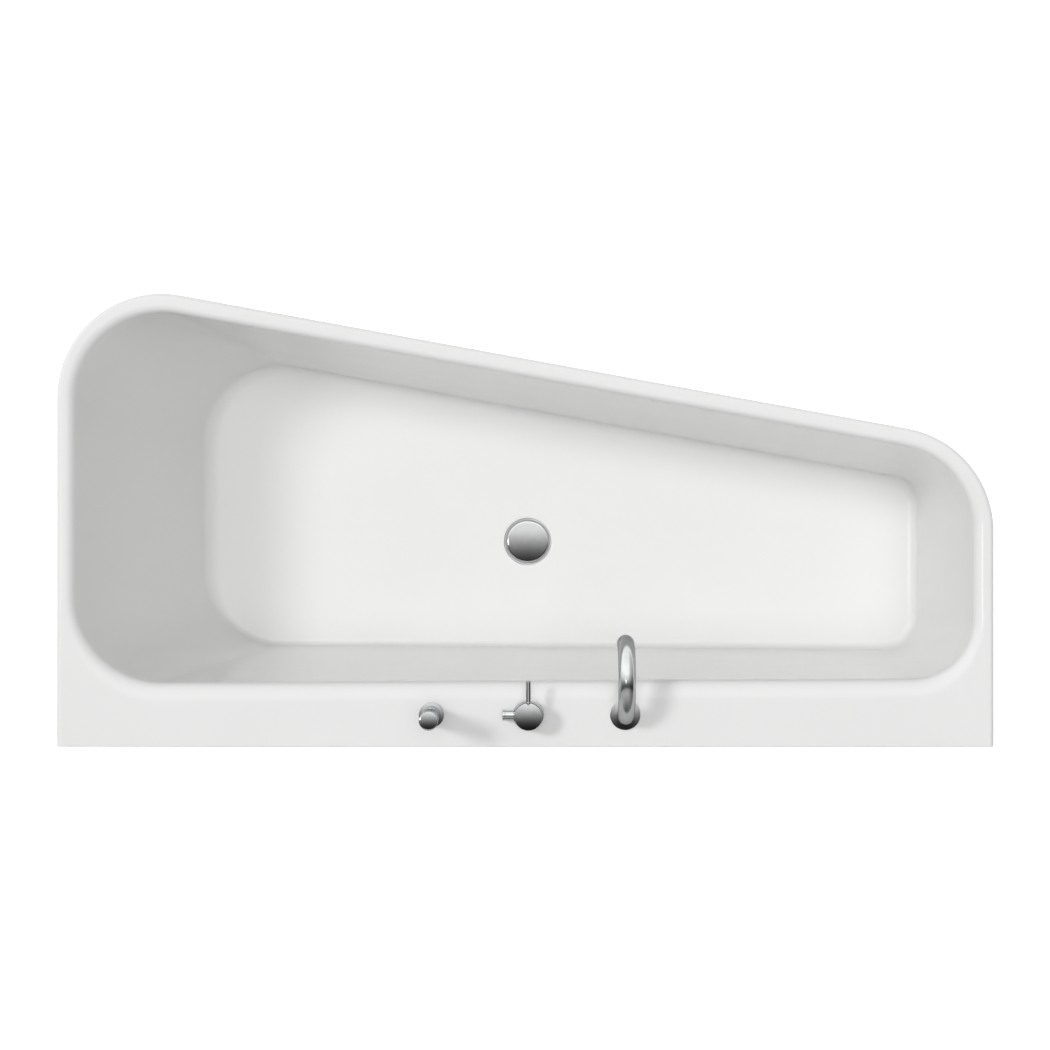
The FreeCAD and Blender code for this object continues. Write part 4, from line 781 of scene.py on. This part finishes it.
def chrome_plate(name, low, high):
    """Chrome plate with a faint film of water marks and hairline wiping scratches."""
    material, shader = new_finish(name)
    links = material.node_tree.links
    shader.inputs["Metallic"].default_value = 1.0
    film = noise(material, 70.0, 4.0, 0.6)
    links.new(shades(material, film, (0.60, 0.605, 0.61), (0.66, 0.665, 0.67)), shader.inputs["Base Color"])
    marks = noise(material, 420.0, 3.0, 0.6)
    links.new(between(material, marks, low, high), shader.inputs["Roughness"])
    shader.inputs["Specular Tint"].default_value = (0.35, 0.35, 0.36, 1)
    hairlines = noise(material, 1500.0, 2.0, 0.5, (1, 1, 0.05))
    links.new(bump(material, hairlines, 0.03, 0.00005), shader.inputs["Normal"])
    return material


def zinc_sheet(name, first, second):
    """Zinc-plated steel: a mottled spangle with a satin, slightly brushed surface."""
    material, shader = new_finish(name)
    links = material.node_tree.links
    shader.inputs["Metallic"].default_value = 1.0
    spangle = noise(material, 120.0, 2.0, 0.8)
    links.new(shades(material, spangle, first, second), shader.inputs["Base Color"])
    links.new(between(material, noise(material, 300.0, 3.0), 0.28, 0.48), shader.inputs["Roughness"])
    brushing = noise(material, 700.0, 2.0, 0.5, (1, 0.04, 1))
    links.new(bump(material, brushing, 0.15, 0.0001), shader.inputs["Normal"])
    return material


def sawn_board(name, first, second, grain, stretch):
    """Board: darker and lighter fibres along its length with a rough pressed face."""
    material, shader = new_finish(name)
    links = material.node_tree.links
    fibres = noise(material, grain, 8.0, 0.7, stretch)
    links.new(shades(material, fibres, first, second), shader.inputs["Base Color"])
    links.new(between(material, fibres, 0.75, 0.55), shader.inputs["Roughness"])
    links.new(bump(material, fibres, 0.4, 0.0006), shader.inputs["Normal"])
    return material


def soft_rubber(name, shade):
    """Rubber or fibre: dull, with pale dusty patches and a fine grain."""
    material, shader = new_finish(name)
    links = material.node_tree.links
    lighter = tuple(min(1, c * 1.6 + 0.01) for c in shade)
    links.new(shades(material, noise(material, 90.0, 4.0), shade, lighter), shader.inputs["Base Color"])
    links.new(between(material, noise(material, 400.0, 3.0), 0.6, 0.85), shader.inputs["Roughness"])
    links.new(bump(material, noise(material, 1800.0, 2.0), 0.25, 0.0002), shader.inputs["Normal"])
    return material


def moulded_plastic(name, first, second, low, high, grain):
    """Moulded plastic: faint clouds of colour, uneven sheen and a fine spark-eroded grain."""
    material, shader = new_finish(name)
    links = material.node_tree.links
    links.new(shades(material, noise(material, 25.0, 3.0), first, second), shader.inputs["Base Color"])
    links.new(between(material, noise(material, 220.0, 3.0), low, high), shader.inputs["Roughness"])
    links.new(bump(material, noise(material, grain, 2.0), 0.15, 0.0002), shader.inputs["Normal"])
    return material


def bare_metal(name, first, second, low, high):
    """Machined brass or drawn copper, a little tarnished in patches, with turning lines."""
    material, shader = new_finish(name)
    links = material.node_tree.links
    shader.inputs["Metallic"].default_value = 1.0
    links.new(shades(material, noise(material, 60.0, 5.0, 0.6), first, second), shader.inputs["Base Color"])
    links.new(between(material, noise(material, 260.0, 3.0), low, high), shader.inputs["Roughness"])
    lines = noise(material, 900.0, 1.0, 0.5, (0.03, 0.03, 1))
    links.new(bump(material, lines, 0.2, 0.0001), shader.inputs["Normal"])
    return material


def paint_nodes(finishes):
    """Give every CAD node the finish of its record slot."""
    slots = {part["node"]: part["material_slot"] for part in frame["record"]["subparts"]}
    for name, node in frame["nodes"].items():
        node.data.materials.clear()
        node.data.materials.append(finishes[slots[name]])


# Stage

CAMERA_HEIGHT = 4.144
FRAME_WIDTH = 1.735
ROOM_STRENGTH = 0.4
MIRROR_STRENGTH = 1.5
# Tones of the mirrored room, from the front to the wall side and from the narrow to the wide end;
# the two ends of each come first.
MIRROR_DEPTH = (
    (-1.0, 0.80), (1.0, 0.08), (-0.6, 1.0), (-0.28, 0.98), (-0.2, 0.79), (-0.12, 0.70), (-0.074, 0.60),
    (-0.03, 0.46), (0.013, 0.34), (0.056, 0.235), (0.1, 0.148), (0.143, 0.088), (0.186, 0.046),
    (0.228, 0.025), (0.28, 0.008), (0.312, 0.02), (0.345, 0.42), (0.42, 0.34), (0.55, 0.38),
    (0.75, 0.28), (0.9, 0.15),
)
MIRROR_SIDE = ((-1.0, 0.3), (1.0, 1.0), (-0.55, 0.6), (-0.3, 1.0))
# The way towards the window, its outer and inner angle in degrees and its strength.
WINDOW = ((0.30, 0.01, 0.954), 3.0, 2.0, 6.0)
FLOOR_REACH = 30.0
FLOOR_SHADE = 0.62
FLOOR_GLOW = 0.7
GLOW_FADE = (-0.2, 0.7)
CAMERA_SPOT = (0.0004, 0.00785, RIM_HEIGHT * MM + CAMERA_HEIGHT)
SENSOR_WIDTH = 36
LAMPS = (
    ("key_lamp", 1.0, 12, (0.58, -0.21, 0.79)),
    ("top_lamp", 1.1, 30, (0, 0, 1)),
)


def make_stage():
    """A pale floor that keeps the shadow and adds up to white for the camera, and for mirrors where it
    lies in front of the wall."""
    floor_mesh = bpy.data.meshes.new("studio_floor")
    corners = [(x * FLOOR_REACH, y * FLOOR_REACH, 0) for x, y in ((-1, -1), (1, -1), (1, 1), (-1, 1))]
    floor_mesh.from_pydata(corners, [], [(0, 1, 2, 3)])
    floor = bpy.data.objects.new("studio_floor", floor_mesh)
    bpy.context.scene.collection.objects.link(floor)
    material = bpy.data.materials.new("studio_white")
    material.use_nodes = True
    nodes, links = material.node_tree.nodes, material.node_tree.links
    nodes.clear()
    output = nodes.new("ShaderNodeOutputMaterial")
    matt = nodes.new("ShaderNodeBsdfDiffuse")
    matt.inputs["Color"].default_value = (FLOOR_SHADE, FLOOR_SHADE, FLOOR_SHADE, 1)
    glow = nodes.new("ShaderNodeEmission")
    glow.inputs["Color"].default_value = (1, 1, 1, 1)
    path = nodes.new("ShaderNodeLightPath")
    place = nodes.new("ShaderNodeTexCoord")
    split = nodes.new("ShaderNodeSeparateXYZ")
    ahead = nodes.new("ShaderNodeMapRange")
    ahead.interpolation_type = "SMOOTHSTEP"
    ahead.inputs["From Min"].default_value = GLOW_FADE[0]
    ahead.inputs["From Max"].default_value = GLOW_FADE[1]
    ahead.inputs["To Min"].default_value = 1
    ahead.inputs["To Max"].default_value = 0
    mirrored = nodes.new("ShaderNodeMath")
    mirrored.operation = "MULTIPLY"
    seen = nodes.new("ShaderNodeMath")
    seen.operation = "MAXIMUM"
    share = nodes.new("ShaderNodeMath")
    share.operation = "MULTIPLY"
    share.inputs[1].default_value = FLOOR_GLOW
    total = nodes.new("ShaderNodeAddShader")
    links.new(path.outputs["Is Camera Ray"], seen.inputs[0])
    links.new(place.outputs["Object"], split.inputs["Vector"])
    links.new(split.outputs["Y"], ahead.inputs["Value"])
    links.new(path.outputs["Is Glossy Ray"], mirrored.inputs[0])
    links.new(ahead.outputs["Result"], mirrored.inputs[1])
    links.new(mirrored.outputs["Value"], seen.inputs[1])
    links.new(seen.outputs["Value"], share.inputs[0])
    links.new(share.outputs["Value"], glow.inputs["Strength"])
    links.new(matt.outputs["BSDF"], total.inputs[0])
    links.new(glow.outputs["Emission"], total.inputs[1])
    links.new(total.outputs["Shader"], output.inputs["Surface"])
    floor_mesh.materials.append(material)


def sky_ramp(nodes, links, value, stops):
    """A tone that follows stops (place from -1 to 1, tone) along one axis of the sky."""
    ramp = nodes.new("ShaderNodeValToRGB")
    elements = ramp.color_ramp.elements
    for index, (spot, tone) in enumerate(stops):
        place = (spot + 1) / 2
        element = elements[index] if index < 2 else elements.new(place)
        element.position = place
        element.color = (tone, tone, tone, 1)
    share = nodes.new("ShaderNodeMapRange")
    share.inputs["From Min"].default_value = -1
    share.inputs["From Max"].default_value = 1
    links.new(value, share.inputs["Value"])
    links.new(share.outputs["Result"], ramp.inputs["Fac"])
    return ramp.outputs["Color"]


def sky_window(nodes, links, direction):
    """A small round window in the sky: nothing outside its outer angle, its full strength inside its inner."""
    way, outer, inner, strength = WINDOW
    toward = nodes.new("ShaderNodeVectorMath")
    toward.operation = "DOT_PRODUCT"
    toward.inputs[1].default_value = Vector(way).normalized()
    links.new(direction, toward.inputs[0])
    edge = nodes.new("ShaderNodeMapRange")
    edge.inputs["From Min"].default_value = math.cos(math.radians(outer))
    edge.inputs["From Max"].default_value = math.cos(math.radians(inner))
    edge.inputs["To Max"].default_value = strength
    links.new(toward.outputs["Value"], edge.inputs["Value"])
    return edge.outputs["Result"]


def make_sky():
    """A white room: the camera sees plain white, soft light comes from all sides, and mirrors see white
    towards the front that darkens past the top towards the wall side."""
    world = bpy.data.worlds.new("studio")
    bpy.context.scene.world = world
    world.use_nodes = True
    nodes, links = world.node_tree.nodes, world.node_tree.links
    nodes.clear()
    output = nodes.new("ShaderNodeOutputWorld")
    place = nodes.new("ShaderNodeTexCoord")
    split = nodes.new("ShaderNodeSeparateXYZ")
    links.new(place.outputs["Generated"], split.inputs["Vector"])
    depth = sky_ramp(nodes, links, split.outputs["Y"], MIRROR_DEPTH)
    side = sky_ramp(nodes, links, split.outputs["X"], MIRROR_SIDE)
    tone = nodes.new("ShaderNodeMath")
    tone.operation = "MULTIPLY"
    links.new(depth, tone.inputs[0])
    links.new(side, tone.inputs[1])
    path = nodes.new("ShaderNodeLightPath")
    direct = nodes.new("ShaderNodeMath")
    direct.operation = "LESS_THAN"
    direct.inputs[1].default_value = 2.5
    total = nodes.new("ShaderNodeMath")
    total.operation = "MULTIPLY_ADD"
    links.new(path.outputs["Ray Depth"], direct.inputs[0])
    links.new(sky_window(nodes, links, place.outputs["Generated"]), total.inputs[0])
    links.new(direct.outputs["Value"], total.inputs[1])
    links.new(tone.outputs["Value"], total.inputs[2])
    plain = nodes.new("ShaderNodeBackground")
    plain.inputs["Color"].default_value = (1, 1, 1, 1)
    plain.inputs["Strength"].default_value = ROOM_STRENGTH
    mirror = nodes.new("ShaderNodeBackground")
    mirror.inputs["Strength"].default_value = MIRROR_STRENGTH
    links.new(total.outputs["Value"], mirror.inputs["Color"])
    seen = nodes.new("ShaderNodeBackground")
    seen.inputs["Color"].default_value = (1, 1, 1, 1)
    first = nodes.new("ShaderNodeMixShader")
    second = nodes.new("ShaderNodeMixShader")
    links.new(path.outputs["Is Glossy Ray"], first.inputs["Fac"])
    links.new(plain.outputs["Background"], first.inputs[1])
    links.new(mirror.outputs["Background"], first.inputs[2])
    links.new(path.outputs["Is Camera Ray"], second.inputs["Fac"])
    links.new(first.outputs["Shader"], second.inputs[1])
    links.new(seen.outputs["Background"], second.inputs[2])
    links.new(second.outputs["Shader"], output.inputs["Surface"])


def make_lamps():
    """Broad soft lamps, each given by its strength, its spread in degrees and the way towards it.
    Shiny surfaces mirror the room and not the lamps."""
    for name, strength, spread, way in LAMPS:
        data = bpy.data.lights.new(name, "SUN")
        data.energy = strength
        data.angle = math.radians(spread)
        lamp = bpy.data.objects.new(name, data)
        bpy.context.scene.collection.objects.link(lamp)
        lamp.rotation_euler = Vector(way).to_track_quat("Z", "Y").to_euler()
        lamp.visible_glossy = False


def make_camera():
    """Straight above, with the wall side at the bottom of the picture."""
    data = bpy.data.cameras.new("camera")
    data.sensor_width = SENSOR_WIDTH
    data.lens = SENSOR_WIDTH * CAMERA_HEIGHT / FRAME_WIDTH
    camera = bpy.data.objects.new("camera", data)
    bpy.context.scene.collection.objects.link(camera)
    camera.location = CAMERA_SPOT
    camera.rotation_euler = (0, 0, math.pi)
    bpy.context.scene.camera = camera
    bpy.context.scene.view_settings.view_transform = "Standard"


acrylic = sanitary_acrylic()
laminate = glass_laminate()
chrome = chrome_plate("polished_chrome", 0.03, 0.07)
spout_chrome = chrome_plate("spout_chrome", 0.16, 0.22)
spray_grey = moulded_plastic("spray_grey", (0.20, 0.205, 0.21), (0.25, 0.255, 0.26), 0.4, 0.55, 1500.0)
finishes = {
    "acrylic": acrylic,
    "apron_acrylic": acrylic,
    "laminate": laminate,
    "board": sawn_board("pressed_board", (0.42, 0.29, 0.17), (0.66, 0.50, 0.33), 90.0, (1, 0.5, 1)),
    "batten": sawn_board("plywood", (0.50, 0.36, 0.22), (0.70, 0.56, 0.38), 60.0, (0.1, 1, 1)),
    "zinc_steel": zinc_sheet("zinc_sheet", (0.50, 0.52, 0.54), (0.68, 0.70, 0.72)),
    "screw_steel": zinc_sheet("zinc_rod", (0.56, 0.56, 0.54), (0.70, 0.70, 0.67)),
    "foot_rubber": soft_rubber("foot_rubber", (0.05, 0.05, 0.053)),
    "chrome": chrome,
    "end_cap_chrome": chrome,
    "waste_chrome": chrome,
    "seal_rubber": soft_rubber("seal_rubber", (0.04, 0.04, 0.043)),
    "waste_plastic": moulded_plastic(
        "waste_plastic", (0.80, 0.80, 0.78), (0.86, 0.86, 0.85), 0.35, 0.5, 800.0),
    "brass": bare_metal("brass", (0.62, 0.45, 0.19), (0.78, 0.61, 0.31), 0.2, 0.35),
    "copper": bare_metal("copper", (0.66, 0.33, 0.21), (0.83, 0.49, 0.36), 0.22, 0.4),
    "washer_fibre": soft_rubber("washer_fibre", (0.10, 0.08, 0.07)),
    "cartridge_plastic": moulded_plastic(
        "cartridge_plastic", (0.74, 0.74, 0.72), (0.80, 0.80, 0.78), 0.35, 0.5, 900.0),
    "spindle_steel": zinc_sheet("spindle_steel", (0.62, 0.62, 0.62), (0.72, 0.72, 0.72)),
    "aerator_plastic": moulded_plastic(
        "aerator_plastic", (0.45, 0.47, 0.48), (0.55, 0.57, 0.58), 0.4, 0.55, 1200.0),
    "spray_plastic": spray_grey,
}
paint_nodes(finishes)
make_shell(acrylic)
make_apron(acrylic, laminate)
make_rosettes(chrome)
make_mixer(chrome)
make_hand_shower(chrome, spray_grey)
make_spout(spout_chrome)
make_waste(chrome)
make_stage()
make_sky()
make_lamps()
make_camera()
